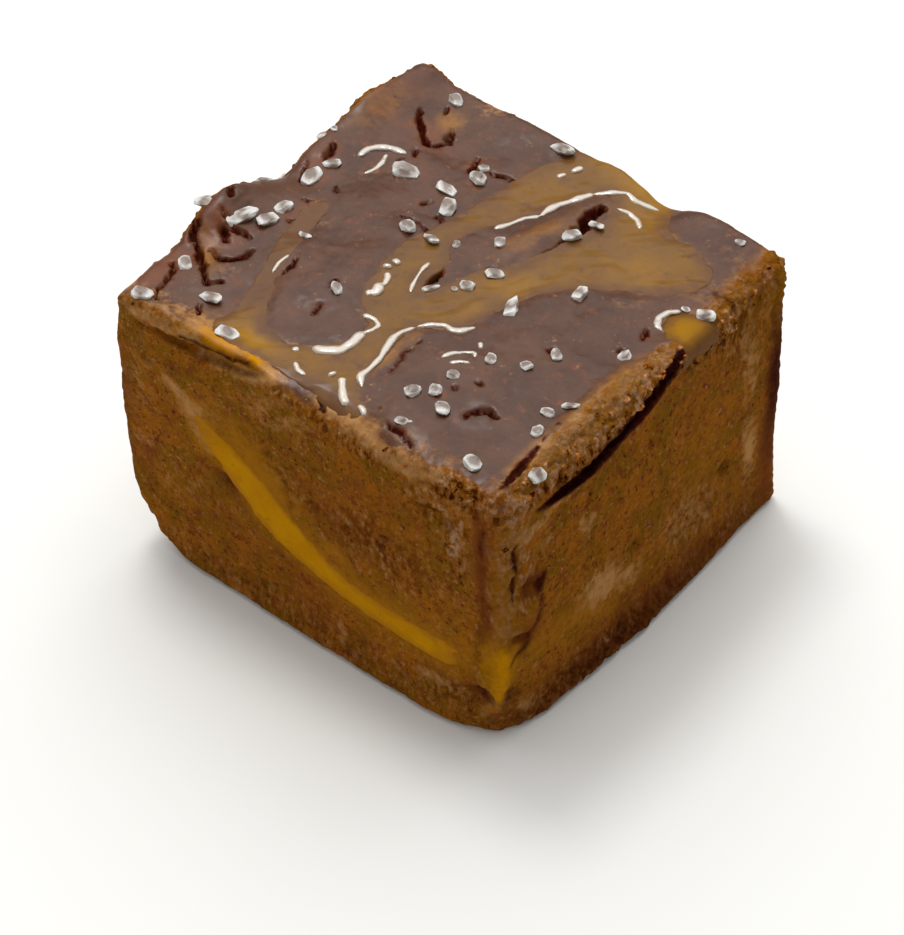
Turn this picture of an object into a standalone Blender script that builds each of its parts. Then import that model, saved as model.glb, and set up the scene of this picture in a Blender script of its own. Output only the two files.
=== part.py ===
"""Sea-salt caramel fudge: one hand-cut block, as a Blender script.

The block of chocolate fudge is one solid. A ribbon of caramel runs through it and shows at its cut
sides, more caramel lies in channels in its top, and coarse salt crystals are pressed into both.
Sizes are in millimetres until a mesh is made. X runs along the long cut side, Y along the short
one, and the origin is the middle of the base.
"""

import math
import random

import bmesh
import bpy
from mathutils import Matrix, Vector, noise
from mathutils.bvhtree import BVHTree

MM = 0.001

# Driving sizes.
LENGTH = 48.3
WIDTH = 46.6
HEIGHT = 32.0
GAP = 0.3  # clearance between two pieces
POOL_DEPTH = 2.6  # how far the top caramel reaches below the nominal top
CARAMEL_DROP = 0.2  # how far its surface lies below the fudge around it

# What sets the middle of the finished block's box over the origin.
CENTRING = Vector((-0.45, -0.05, 0.0))

HALF_LENGTH = LENGTH / 2
HALF_WIDTH = WIDTH / 2

# The block's skin: cells along X, Y and Z, and how much closer they stand near the edges.
CELLS = (20, 19, 12)
CROWDING = 0.42

# How far each corner of the plan stands in from the nominal rectangle, at the base and at the top.
# Keys are (right, back, top).
CORNER_INSETS = {
    (0, 0, 0): (0.5, 0.3),
    (1, 0, 0): (0.2, 0.4),
    (0, 1, 0): (0.6, 0.3),
    (1, 1, 0): (0.1, 1.3),
    (0, 0, 1): (0.9, 0.2),
    (1, 0, 1): (0.5, 0.6),
    (0, 1, 1): (-0.1, 0.0),
    (1, 1, 1): (0.2, 2.2),
}

# The flat base bears on these four places, and clears the ground by a little outside them.
FEET = ((-12.9, -21.5), (20.6, -20.0), (22.4, 20.9), (-12.9, 21.2))
FEET_MARGIN = 0.3
BASE_CLEARANCE = 0.1

# Corners that are worn in, or flare out where the pull is negative: place, reach, pull.
WORN_CORNERS = (
    ((23.5, -22.8, 0.0), 4.4, 1.5),
    ((23.5, 23.0, 0.0), 4.5, -0.4),
    ((-22.5, -22.8, 31.0), 3.0, 0.3),
)

# Edge radii. Each edge is the meeting of two sides, and a side is (axis, end).
LEFT, RIGHT = (0, 0), (0, 1)
FRONT, BACK = (1, 0), (1, 1)
BASE, TOP = (2, 0), (2, 1)
EDGE_RADII = (
    (LEFT, FRONT, 1.0),
    (RIGHT, FRONT, 2.2),
    (RIGHT, BACK, 1.3),
    (LEFT, BACK, 1.3),
    (LEFT, TOP, 1.5),
    (RIGHT, TOP, 1.4),
    (FRONT, TOP, 1.0),
    (BACK, TOP, 1.3),
    (LEFT, BASE, 10.0),
    (RIGHT, BASE, 1.0),
    (FRONT, BASE, 0.8),
    (BACK, BASE, 1.0),
)

# Swells and dips of the top: centre, half-widths along and across, heading in degrees, height.
TOP_FORMS = (
    ((-21.6, 23.0), (2.2, 3.0), 0, 1.2),  # peaked back corner
    ((-24.0, 14.5), (5.0, 8.0), 0, 2.4),  # rim left of it
    ((-9.0, 23.5), (9.0, 5.0), 0, 0.9),  # rim right of it
    ((2.5, 23.5), (3.0, 4.0), 0, 0.8),  # where the back band stands over the edge
    ((16.0, 23.0), (4.5, 3.0), 0, 0.9),  # rim by the right corner
    ((-24.0, -7.0), (4.0, 4.6), 0, 3.0),  # folded shoulder on the left rim
    ((-24.0, 1.2), (3.0, 2.0), 0, -0.8),  # notch behind the shoulder
    ((-13.0, -23.0), (8.0, 2.4), 0, 0.9),  # raised front rim above the trough
    ((-8.0, -4.0), (6.0, 11.0), 20, 0.8),  # left chocolate island
    ((13.0, -9.0), (8.0, 10.0), 0, 0.6),  # front chocolate island
    ((4.0, 10.0), (1.8, 7.0), -14, 0.6),  # sliver between the caramel bands
    ((9.0, 22.5), (2.4, 4.0), 0, -0.9),  # dip beside the back band
    ((6.5, -23.4), (8.0, 2.0), 0, -1.6),  # worn front rim
    ((22.6, -7.0), (1.4, 9.0), 0, 0.8),  # crumbled lip along the right rim
)

# Swells and dips of the cut sides: side, centre along the side and up, half-widths, heading,
# and how far they stand out.
SIDE_FORMS = (
    (RIGHT, (-7.0, 30.4), (10.0, 1.8), 8, 0.7),  # lip over the crack
    (RIGHT, (-6.0, 25.2), (11.0, 2.0), 8, -0.4),  # face drawn in below it
    (RIGHT, (16.0, 28.0), (4.0, 6.0), 0, -0.4),
    (RIGHT, (-20.5, 15.0), (1.0, 14.0), 0, -0.5),  # furrow beside the corner
    (FRONT, (-11.0, 27.8), (9.0, 1.4), 6, 0.35),  # edge under the trough
    (FRONT, (-8.0, 22.0), (7.0, 3.0), -20, -0.3),
    (FRONT, (20.5, 15.0), (1.0, 12.0), 0, -0.45),  # furrow beside the corner
    (FRONT, (20.0, 4.6), (1.6, 1.4), 0, -0.9),  # broken corner crumb
    (FRONT, (0.0, 0.5), (18.0, 3.0), 0, 0.5),  # spread foot
    (RIGHT, (1.0, 0.5), (14.0, 3.5), 0, 1.0),
    (LEFT, (-9.0, 31.0), (6.0, 4.0), 0, 0.7),
)

# The top caramel's outline, counter-clockwise, through its turning points. It runs off the block
# at the front and the back, and a thin vein leaves it along the left island.
SWIRL_OUTLINE = (
    (6.4, -21.2),
    (3.9, -18.4),
    (2.9, -14.8),
    (2.1, -11.0),
    (2.9, -8.6),
    (5.6, -6.9),
    (6.5, -3.2),
    (8.2, 1.8),
    (12.4, 6.2),
    (17.8, 9.4),
    (19.3, 13.6),
    (16.0, 16.0),
    (11.6, 17.4),
    (10.4, 20.6),
    (10.0, 25.0),
    (-1.6, 25.0),
    (-1.5, 21.0),
    (-3.4, 17.2),
    (-4.2, 12.0),
    (-4.4, 6.0),
    (-5.4, 0.0),
    (-4.6, -6.4),
    (-2.6, -10.2),
    (-0.5, -12.2),
    (-1.3, -15.6),
    (-5.0, -18.0),
    (-8.6, -17.6),
    (-12.0, -12.6),
    (-14.6, -5.6),
    (-15.8, -0.6),
    (-17.0, -0.8),
    (-16.0, -5.8),
    (-13.4, -12.4),
    (-12.4, -16.4),
    (-12.0, -20.0),
    (-9.6, -21.4),
    (-4.0, -21.3),
    (1.0, -21.4),
    (4.6, -21.9),
)

# The chocolate sliver that stands inside the swirl.
SLIVER_OUTLINE = (
    (4.8, 18.4),
    (2.4, 15.8),
    (0.4, 10.8),
    (-2.2, 5.6),
    (-3.0, 2.4),
    (-1.5, 0.0),
    (-1.5, -3.0),
    (-0.3, -5.6),
    (0.9, -3.0),
    (2.2, 0.6),
    (4.8, 4.8),
    (6.2, 9.8),
    (7.0, 14.4),
)

# A second, small pool that runs off the right rim.
DAB_OUTLINE = (
    (25.5, 4.2),
    (21.4, 4.2),
    (19.6, 6.2),
    (20.4, 8.4),
    (25.5, 8.8),
)

# Pits in the chocolate: place, half-length, half-width, heading in degrees, depth.
PITS = (
    ((-17.6, 16.0), 2.2, 0.6, -42, 1.1),
    ((-14.6, 15.2), 1.6, 0.6, 62, 1.0),
    ((-6.4, 15.0), 3.6, 0.6, 14, 1.0),
    ((5.6, 13.6), 2.2, 0.8, 98, 1.3),
    ((5.3, 8.2), 1.3, 0.5, 80, 1.0),
    ((-0.3, -2.8), 1.9, 0.5, 108, 1.2),
    ((18.6, 3.2), 1.3, 0.9, 60, 1.0),
    ((14.3, -13.4), 1.4, 0.7, 35, 0.7),
    ((-17.2, -2.6), 1.5, 0.7, 20, 0.8),
    ((-19.2, -11.2), 2.4, 0.7, -38, 1.0),
    ((-20.8, -16.6), 2.6, 0.5, 112, 1.0),
    ((-12.4, -10.2), 1.0, 0.5, 70, 0.7),
)

# Grooves, from end to end: the crack under the right lip, the trough under the front rim, and
# the furrow behind the lip.
CRACK = ((24.3, -17.8, 28.4), (24.2, 5.2, 31.2))
TROUGH = ((-21.8, -23.2, 29.3), (-1.8, -23.1, 31.3))
RIM_GROOVE = ((21.4, -21.4, 32.2), (21.2, -13.6, 32.6))

# Pinches of salt. Each falls in a short row: both ends, and the crystals' long half-sizes.
SALT_SEED = 21
SALT_SPREAD = 0.3
PINCHES = (
    ((-17.0, 20.8), (-4.0, 21.0), (1.0, 0.7, 1.2)),
    ((-7.8, 13.0), (-4.6, 14.6), (1.4, 0.7)),
    ((-13.4, 8.7), (-6.6, 6.8), (1.5, 1.2, 1.1)),
    ((-7.0, 1.6), (-6.6, 4.0), (0.9, 0.7)),
    ((-22.6, 8.4), (-22.6, 8.4), (1.0,)),
    ((-22.6, 4.0), (-22.4, 0.2), (1.2, 1.1, 1.1)),
    ((-20.0, 5.4), (-20.4, 2.4), (0.8, 1.3)),
    ((-17.4, 1.2), (-18.6, -6.0), (0.7, 0.9, 1.1)),
    ((-22.4, -9.0), (-20.2, -8.0), (1.0, 1.4)),
    ((-20.4, -15.4), (-15.8, -17.2), (0.8, 1.4)),
    ((-20.6, -21.4), (-10.4, -20.4), (1.1, 1.0)),
    ((-6.4, -9.6), (-6.4, -9.6), (0.8,)),
    ((0.8, 5.4), (0.8, 5.4), (0.8,)),
    ((5.6, 13.6), (4.8, 10.6), (0.8, 0.7)),
    ((3.4, 2.0), (2.6, -1.2), (0.8, 0.7)),
    ((11.8, 3.6), (8.6, -1.2), (1.2, 1.5)),
    ((19.6, 0.0), (15.0, -4.2), (0.8, 0.9)),
    ((14.0, -7.2), (10.8, -8.4), (0.8, 0.7)),
    ((20.0, -8.6), (19.8, -13.4), (0.8, 0.8, 0.8)),
    ((11.6, -16.0), (7.8, -15.6), (1.2, 0.8, 0.9)),
    ((9.2, -12.4), (9.8, -19.4), (0.9, 0.8)),
    ((18.0, -19.8), (22.8, -17.2), (1.1, 1.1)),
    ((20.8, 11.0), (18.2, 19.0), (1.2, 0.7)),
)
CRYSTAL_POINTS = 14
CRYSTAL_SINK = 0.35  # share of a crystal's height that is pressed in

# The ribbon: its level, its rise to the left, and where it starts and ends.
RIBBON_LEVEL = 9.5
RIBBON_RISE = 0.76
RIBBON_BEND = 2.4
RIBBON_SOFTNESS = 3.0
RIBBON_ROWS = 9
RIBBON_COLUMNS = 16

SKIN_NOISE = 0.25
CRUMB_NOISE = 0.4

# Base colour and roughness of each material.
FUDGE_LOOK = ((0.13, 0.05, 0.02, 1.0), 0.55)
CARAMEL_LOOK = ((0.32, 0.14, 0.01, 1.0), 0.25)


def smooth_step(low, high, value):
    """0 below low, 1 above high, and a soft S between."""
    t = min(1.0, max(0.0, (value - low) / (high - low)))
    return t * t * (3 - 2 * t)


def crowded(t):
    """0 to 1 onto 0 to 1, with the steps closer together near both ends."""
    return t - CROWDING * math.sin(2 * math.pi * t) / (2 * math.pi)


def form_height(form, x, y):
    """The height that one swell or dip of the top adds at a point."""
    (cx, cy), (along, across), heading, height = form
    turn = math.radians(heading)
    dx, dy = x - cx, y - cy
    a = (dx * math.cos(turn) + dy * math.sin(turn)) / along
    b = (dy * math.cos(turn) - dx * math.sin(turn)) / across
    return height * math.exp(-(a * a + b * b))


def top_height(x, y):
    """The height of the block's top at a point of its plan."""
    waves = 0.25 * noise.noise(Vector((x, y, 3.0)) * 0.22)
    return HEIGHT + waves + sum(form_height(form, x, y) for form in TOP_FORMS)


def rounded_box_point(u, v, w):
    """A point of the unit cube's skin, as shares of the box, once the box's edges are rounded.

    The square of an edge's radius is squeezed into its quarter circle, so that no cell folds.
    """
    sizes = (LENGTH, WIDTH, HEIGHT)
    shares = [u, v, w]
    for first, second, radius in EDGE_RADII:
        reaches = []
        for axis, end in (first, second):
            share = 1 - shares[axis] if end else shares[axis]
            reaches.append(radius - share * sizes[axis])
        if min(reaches) <= 0:
            continue
        squeeze = max(reaches) / math.hypot(*reaches)
        for (axis, end), reach in zip((first, second), reaches):
            share = (radius - reach * squeeze) / sizes[axis]
            shares[axis] = 1 - share if end else share
    return shares


def corner_inset(u, v, w):
    """The inset of the plan at a point, blended from the eight corners."""
    inset = Vector((0.0, 0.0))
    for (right, back, top), corner in CORNER_INSETS.items():
        weight = (u if right else 1 - u) * (v if back else 1 - v) * (w if top else 1 - w)
        inset += weight * Vector(corner)
    return inset


def block_point(u, v, w, drop):
    """A point of the block's skin, in millimetres."""
    u, v, w = rounded_box_point(u, v, w)
    inset = corner_inset(u, v, w)
    x = (2 * u - 1) * (HALF_LENGTH - inset.x)
    y = (2 * v - 1) * (HALF_WIDTH - inset.y)
    point = Vector((x, y, w * (top_height(x, y) - drop)))
    for corner, reach, pull in WORN_CORNERS:
        share = math.exp(-((point - Vector(corner)).length_squared) / reach**2)
        inwards = Vector((-math.copysign(1.0, corner[0]), -math.copysign(1.0, corner[1]), 0))
        point += inwards * (pull * share)
    return point


def crumbling(point):
    """How crumbled the skin is here, 0 to 1: most along the top rim and the front right edge."""
    rim = smooth_step(HEIGHT - 5, HEIGHT - 1, point.z)
    side = max(abs(point.x) - HALF_LENGTH, abs(point.y) - HALF_WIDTH)
    rim *= smooth_step(-3.0, -1.0, side)
    corner = math.hypot(point.x - HALF_LENGTH, point.y + HALF_WIDTH)
    return max(0.8 * rim, smooth_step(6.0, 2.0, corner))


def make_mesh(name, bm):
    """An object from a bmesh in millimetres, which is then freed. Its faces are all flat."""
    bmesh.ops.triangulate(bm, faces=bm.faces)
    bmesh.ops.recalc_face_normals(bm, faces=bm.faces)
    bm.transform(Matrix.Scale(MM, 4) @ Matrix.Translation(CENTRING))
    mesh = bpy.data.meshes.new(name)
    bm.to_mesh(mesh)
    bm.free()
    obj = bpy.data.objects.new(name, mesh)
    bpy.context.scene.collection.objects.link(obj)
    return obj


def block(name, drop=0.0):
    """The whole block as it was cut, with its top lowered by drop."""
    bm = bmesh.new()
    bmesh.ops.create_cube(bm, size=1)
    bmesh.ops.translate(bm, verts=bm.verts, vec=(0.5, 0.5, 0.5))
    for axis, cells in enumerate(CELLS):
        along = [e for e in bm.edges if abs((e.verts[0].co - e.verts[1].co)[axis]) > 0.5]
        bmesh.ops.subdivide_edges(bm, edges=along, cuts=cells - 1, use_grid_fill=True)
    for vert in bm.verts:
        u, v, w = (crowded(share) for share in vert.co)
        vert.co = block_point(u, v, w, drop)
    bm.normal_update()
    moves = {vert: skin_move(vert.co, vert.normal) for vert in bm.verts}
    for vert, move in moves.items():
        vert.co += move
    stand_on_feet(bm)
    return make_mesh(name, bm)


def stand_on_feet(bm):
    """Lifts the rim of the flat base, so that the block bears on four wide-set places."""
    feet = [Vector(foot) for foot in FEET]
    between = widened(feet, -FEET_MARGIN)
    low = [vert for vert in bm.verts if vert.co.z < BASE_CLEARANCE / 10]
    bearing = {min(low, key=lambda vert: (vert.co.xy - foot).length) for foot in feet}
    for vert in low:
        if vert not in bearing and not inside(between, *vert.co.xy):
            vert.co.z = BASE_CLEARANCE


def side_swell(point, normal):
    """How far the forms of the cut sides push the skin out at a point."""
    push = 0.0
    for (axis, end), (along, up), half_widths, heading, height in SIDE_FORMS:
        facing = normal[axis] if end else -normal[axis]
        form = ((along, up), half_widths, heading, height)
        push += max(0.0, facing) * form_height(form, point[1 - axis], point.z)
    return push


def skin_move(point, normal):
    """The unevenness of the cut skin. It dies out at the base, which stays flat."""
    coarse = noise.noise(point * 0.16)
    crumbs = noise.noise(point * 0.62) - 0.4
    depth = SKIN_NOISE * coarse + CRUMB_NOISE * crumbling(point) * crumbs
    move = normal * (depth + side_swell(point, normal))
    move.z *= smooth_step(0.0, 2.0, point.z)
    return move


def loft(name, rings):
    """A solid through a row of rings with equal numbers of points, closed at both ends."""
    bm = bmesh.new()
    loops = [[bm.verts.new(point) for point in ring] for ring in rings]
    for lower, upper in zip(loops, loops[1:]):
        for i, corner in enumerate(lower):
            after = (i + 1) % len(lower)
            bm.faces.new((corner, lower[after], upper[after], upper[i]))
    bm.faces.new(loops[0])
    bm.faces.new(loops[-1])
    return make_mesh(name, bm)


def curve_through(points, steps=3):
    """A closed smooth outline through the points, by Catmull-Rom arcs."""
    outline = []
    count = len(points)
    for i in range(count):
        before, start, end, after = (Vector(points[(i + k) % count]) for k in (-1, 0, 1, 2))
        for step in range(steps):
            t = step / steps
            outline.append(
                0.5
                * (
                    2 * start
                    + (end - before) * t
                    + (2 * before - 5 * start + 4 * end - after) * t**2
                    + (3 * start - before - 3 * end + after) * t**3
                )
            )
    return outline


def area_of(outline):
    """Signed area, positive where the outline runs counter-clockwise."""
    pairs = zip(outline, outline[1:] + outline[:1])
    return sum(a.x * b.y - b.x * a.y for a, b in pairs) / 2


def widened(outline, distance):
    """The outline moved outwards by a distance."""
    sign = math.copysign(1.0, area_of(outline))
    moved = []
    for i, point in enumerate(outline):
        along = (outline[(i + 1) % len(outline)] - outline[i - 1]).normalized()
        moved.append(point + sign * distance * Vector((along.y, -along.x)))
    return moved


def prism(name, outline, low, high):
    """An upright solid over an outline."""
    return loft(name, [[(p.x, p.y, z) for p in outline] for z in (low, high)])


def boolean(obj, other, operation, solver="EXACT"):
    """Joins, cuts or intersects obj with another, which is then removed."""
    modifier = obj.modifiers.new(operation, "BOOLEAN")
    modifier.operation = operation
    modifier.solver = solver
    modifier.object = other
    bpy.context.view_layer.objects.active = obj
    bpy.ops.object.modifier_apply(modifier=modifier.name)
    bpy.data.objects.remove(other)
    return obj


def pool(name, outline, spread, floor, island=None):
    """The space that a pool of top caramel fills, with an island left standing in it."""
    made = prism(name, widened(outline, spread), floor, HEIGHT + 6)
    if island:
        standing = prism("island", widened(island, -spread), floor - 2, HEIGHT + 8)
        boolean(made, standing, "DIFFERENCE")
    return made


def ribbon_ring(y, extra):
    """One cross-section of the ribbon, in the plane of constant y, grown by extra."""
    start = -16.4 + 1.2 * math.sin(0.21 * y) - extra
    end = 27.0 - 17.0 * smooth_step(4.0, 21.0, y) + extra
    upper, lower = [], []
    for column in range(RIBBON_COLUMNS + 1):
        share = column / RIBBON_COLUMNS
        x = start + (end - start) * share
        rise = RIBBON_SOFTNESS * math.log1p(math.exp((RIBBON_BEND - x) / RIBBON_SOFTNESS))
        middle = RIBBON_LEVEL + RIBBON_RISE * rise + 0.5 * math.sin(0.16 * y + 3.4)
        fade = 1 - 0.45 * smooth_step(-20.0, 8.0, y) * smooth_step(0.0, 22.0, x)
        thick = 1.15 + 1.35 * math.exp(-(((x + 4.5) / 5.5) ** 2))
        left_end = math.sqrt(min(1.0, (x - start) / 5.0 + 0.02))
        right_end = math.sqrt(min(1.0, (end - x) / 4.0 + 0.02))
        half = thick * fade * left_end * right_end + extra
        upper.append((x, y, middle + half))
        lower.append((x, y, middle - half))
    return upper + lower[::-1]


def ribbon_sheet(name, extra=0.0):
    """The caramel sheet, run out past the block on the sides where it shows."""
    reach = HALF_WIDTH + 2
    rows = [-reach + 2 * reach * row / RIBBON_ROWS for row in range(RIBBON_ROWS + 1)]
    return loft(name, [ribbon_ring(y, extra) for y in rows])


def tapered_groove(name, ends, bow, half_height, depth, dip, stations=12, sides=8):
    """A groove's cutter along a bowed line. It thins to both ends, and dips into the block."""
    start, end = (Vector(place) for place in ends)
    along = (end - start).normalized()
    level = Vector((-along.y, along.x, 0)).normalized()
    slope = math.radians(dip)
    inward = level * math.cos(slope) - Vector((0, 0, math.sin(slope)))
    upward = level * math.sin(slope) + Vector((0, 0, math.cos(slope)))
    rings = []
    for station in range(stations + 1):
        t = station / stations
        swell = max(0.12, math.sin(math.pi * t) ** 0.6)
        middle = start.lerp(end, t) + Vector((0, 0, bow * math.sin(math.pi * t)))
        ring = []
        for side in range(sides):
            turn = 2 * math.pi * side / sides
            across = inward * (depth * swell * math.cos(turn))
            rise = upward * (half_height * swell * math.sin(turn))
            ring.append(middle + across + rise)
        rings.append(ring)
    return loft(name, rings)


def pit_cutter(index, pit):
    """A spindle that sinks one pit into the top."""
    (x, y), half_length, half_width, heading, depth = pit
    turn = math.radians(heading)
    along = Vector((math.cos(turn), math.sin(turn), 0))
    across = Vector((-along.y, along.x, 0))
    middle = Vector((x, y, top_height(x, y) + 0.1))
    rings = []
    for station in range(6):
        t = station / 5
        swell = max(0.2, math.sin(math.pi * t))
        centre = middle + along * (half_length * (2 * t - 1))
        ring = []
        for side in range(6):
            angle = 2 * math.pi * side / 6
            side_way = across * (half_width * swell * math.cos(angle))
            ring.append(centre + side_way + Vector((0, 0, depth * swell * math.sin(angle))))
        rings.append(ring)
    return loft(f"pit_{index}", rings)


def inside(outline, x, y):
    """True if a point of the plan lies inside an outline."""
    found = False
    for a, b in zip(outline, outline[1:] + outline[:1]):
        if (a.y > y) != (b.y > y) and x < a.x + (y - a.y) / (b.y - a.y) * (b.x - a.x):
            found = not found
    return found


def salt_crystals():
    """Place, half-size and own seed of each crystal, pinch by pinch."""
    draw = random.Random(SALT_SEED)
    for first, last, sizes in PINCHES:
        for number, size in enumerate(sizes):
            place = Vector(first).lerp(Vector(last), number / max(1, len(sizes) - 1))
            place.x += draw.uniform(-SALT_SPREAD, SALT_SPREAD)
            place.y += draw.uniform(-SALT_SPREAD, SALT_SPREAD)
            yield place, size, draw.randrange(10000)


def crystal(name, ground, normal, size, seed):
    """One salt crystal: the hull of a few points on a lump, pressed into the ground."""
    draw = random.Random(seed)
    half = Vector((size, size * draw.uniform(0.6, 0.85), size * draw.uniform(0.5, 0.65)))
    bm = bmesh.new()
    for number in range(CRYSTAL_POINTS):
        level = 1 - 2 * (number + 0.5) / CRYSTAL_POINTS
        turn = number * math.radians(137.5) + draw.uniform(-0.4, 0.4)
        flat = math.sqrt(1 - level * level)
        spread = draw.uniform(0.85, 1.0)
        unit = Vector((flat * math.cos(turn), flat * math.sin(turn), level)) * spread
        bm.verts.new(Vector([u * h for u, h in zip(unit, half)]))
    bmesh.ops.convex_hull(bm, input=bm.verts)
    loose = [v for v in bm.verts if not v.link_faces]
    bmesh.ops.delete(bm, geom=loose, context="VERTS")
    tilt = Matrix.Rotation(draw.uniform(-0.35, 0.35), 4, "X")
    turn = Matrix.Rotation(draw.uniform(0, math.pi), 4, "Z")
    lean = normal.to_track_quat("Z", "Y").to_matrix().to_4x4()
    middle = ground + normal * half.z * (1 - 2 * CRYSTAL_SINK)
    bm.transform(Matrix.Translation(middle) @ lean @ turn @ tilt)
    return make_mesh(name, bm)


def clear_of(outlines, x, y, room):
    """The place moved off the outlines of the top caramel until it is a given distance away."""
    place = Vector((x, y))
    for _ in range(12):
        points = [point for outline in outlines for point in outline]
        nearest = min(points, key=lambda point: (point - place).length)
        away = place - nearest
        if away.length >= room:
            break
        place += away.normalized() * (room - away.length + 0.02)
    return place


def skin_of(obj):
    """A tree for finding the ground under a crystal."""
    verts = [vert.co / MM - CENTRING for vert in obj.data.vertices]
    return BVHTree.FromPolygons(verts, [tuple(face.vertices) for face in obj.data.polygons])


def press_in(obj, crystals):
    """Fuses salt crystals to what they lie on, as one union."""
    if not crystals:
        return
    pile = bpy.data.collections.new("salt")
    bpy.context.scene.collection.children.link(pile)
    for grain in crystals:
        pile.objects.link(grain)
    modifier = obj.modifiers.new("salt", "BOOLEAN")
    modifier.operation = "UNION"
    modifier.operand_type = "COLLECTION"
    modifier.collection = pile
    modifier.solver = "EXACT"
    bpy.context.view_layer.objects.active = obj
    bpy.ops.object.modifier_apply(modifier=modifier.name)
    for grain in crystals:
        bpy.data.objects.remove(grain)
    bpy.data.collections.remove(pile)


def look(name, colour, roughness):
    """A plain material."""
    material = bpy.data.materials.new(name)
    material.use_nodes = True
    shader = material.node_tree.nodes["Principled BSDF"]
    shader.inputs["Base Color"].default_value = colour
    shader.inputs["Roughness"].default_value = roughness
    shader.inputs["Metallic"].default_value = 0.0
    return material


def make_caramel_pools(swirl, sliver, dab, floor):
    """The two pools of top caramel, cut from a block that is a little lower than the fudge."""
    pools = []
    for name, outline, island in (
        ("caramel_swirl", swirl, sliver),
        ("caramel_rim_dab", dab, None),
    ):
        made = pool(name, outline, 0.0, floor + GAP, island)
        pools.append(boolean(made, block("lowered_block", CARAMEL_DROP), "INTERSECT"))
    return pools


def make_ribbon():
    """The caramel ribbon, cut flush with the block's sides."""
    return boolean(ribbon_sheet("caramel_ribbon"), block("whole_block"), "INTERSECT")


def make_fudge(swirl, sliver, dab, floor):
    """The chocolate fudge, with room for the caramel, its crack, trough and pits."""
    fudge = block("fudge")
    cutters = [
        ribbon_sheet("ribbon_room", GAP),
        pool("swirl_room", swirl, GAP, floor, sliver),
        pool("dab_room", dab, GAP, floor),
        tapered_groove("crack", CRACK, -1.5, 0.8, 2.8, 35),
        tapered_groove("trough", TROUGH, -0.4, 1.0, 1.2, 10),
        tapered_groove("rim_groove", RIM_GROOVE, 0.0, 0.45, 0.9, 80),
    ]
    cutters += [pit_cutter(i, pit) for i, pit in enumerate(PITS)]
    for cutter in cutters:
        boolean(fudge, cutter, "DIFFERENCE")
    return fudge


def add_salt(fudge, swirl_piece, outlines):
    """Presses each crystal into the chocolate or the caramel under it."""
    skins = {fudge: skin_of(fudge), swirl_piece: skin_of(swirl_piece)}
    swirl, sliver, _ = outlines
    grains = {fudge: [], swirl_piece: []}
    for number, (place, size, seed) in enumerate(salt_crystals()):
        x, y = clear_of(outlines, *place, size + GAP)
        sweet = inside(swirl, x, y) and not inside(sliver, x, y)
        under = swirl_piece if sweet else fudge
        ground, normal, _, _ = skins[under].ray_cast(Vector((x, y, 60)), Vector((0, 0, -1)))
        grains[under].append(crystal(f"crystal_{number}", ground, normal, size, seed))
    for under, crystals in grains.items():
        press_in(under, crystals)


def main():
    for obj in list(bpy.data.objects):
        bpy.data.objects.remove(obj)
    floor = HEIGHT - POOL_DEPTH
    swirl = curve_through(SWIRL_OUTLINE)
    sliver = curve_through(SLIVER_OUTLINE)
    dab = curve_through(DAB_OUTLINE)
    swirl_piece, dab_piece = make_caramel_pools(swirl, sliver, dab, floor)
    ribbon = make_ribbon()
    fudge = make_fudge(swirl, sliver, dab, floor)
    add_salt(fudge, swirl_piece, (swirl, sliver, dab))
    fudge.data.materials.append(look("fudge", *FUDGE_LOOK))
    caramel = look("caramel", *CARAMEL_LOOK)
    for piece in (swirl_piece, dab_piece, ribbon):
        piece.data.materials.clear()
        piece.data.materials.append(caramel)


main()
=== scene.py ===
"""The looks of one hand-cut block of salted caramel fudge.

Places and sizes below are in millimetres in the block's cutting frame: X along the long cut side,
Y along the short one, Z up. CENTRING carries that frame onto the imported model's.
"""

import math
import random

import bpy
import numpy as np
from mathutils import Matrix, Vector, noise
from mathutils.bvhtree import BVHTree


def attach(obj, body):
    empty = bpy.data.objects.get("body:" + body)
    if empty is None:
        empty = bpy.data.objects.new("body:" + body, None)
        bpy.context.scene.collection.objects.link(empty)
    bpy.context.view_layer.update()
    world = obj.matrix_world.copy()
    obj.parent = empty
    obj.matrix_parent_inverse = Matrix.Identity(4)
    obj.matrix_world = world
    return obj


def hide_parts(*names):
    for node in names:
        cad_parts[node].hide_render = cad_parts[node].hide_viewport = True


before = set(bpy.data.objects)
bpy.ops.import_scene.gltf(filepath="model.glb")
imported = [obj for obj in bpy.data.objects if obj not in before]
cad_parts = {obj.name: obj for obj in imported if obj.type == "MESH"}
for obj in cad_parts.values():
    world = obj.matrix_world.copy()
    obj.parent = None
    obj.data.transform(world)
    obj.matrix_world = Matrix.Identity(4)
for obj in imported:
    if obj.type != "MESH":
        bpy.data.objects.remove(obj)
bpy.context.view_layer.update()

bl_info = {
    "name": "Salted Caramel Fudge",
    "version": (1, 0, 0),
    "blender": (4, 5, 0),
    "location": "View3D > Sidebar > Fudge",
    "description": "Builds a hand-cut block of fudge with caramel and coarse salt",
    "category": "Add Mesh",
}

MM = 0.001
CENTRING = np.array((-0.45, -0.05, 0.0))

# The block. POOL_DEPTH is how deep the top caramel goes.
LENGTH = 48.3
WIDTH = 46.6
HEIGHT = 32.0
POOL_DEPTH = 2.6
SIZES = (LENGTH, WIDTH, HEIGHT)
SKIN_WAVE = 0.25  # height of the broad unevenness of the top and the sides
DRAG = 0.16  # waves to the millimetre of the unevenness of the cut sides
BLOCK_CUTS, CUTTER_CUTS = 79, 59  # how often the edges of a cube are divided
DROP_FROM = 60.0  # where drops onto the ground start
RIM_FALL = 4.0  # ground lower than this below the top is no ground for salt or syrup

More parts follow.
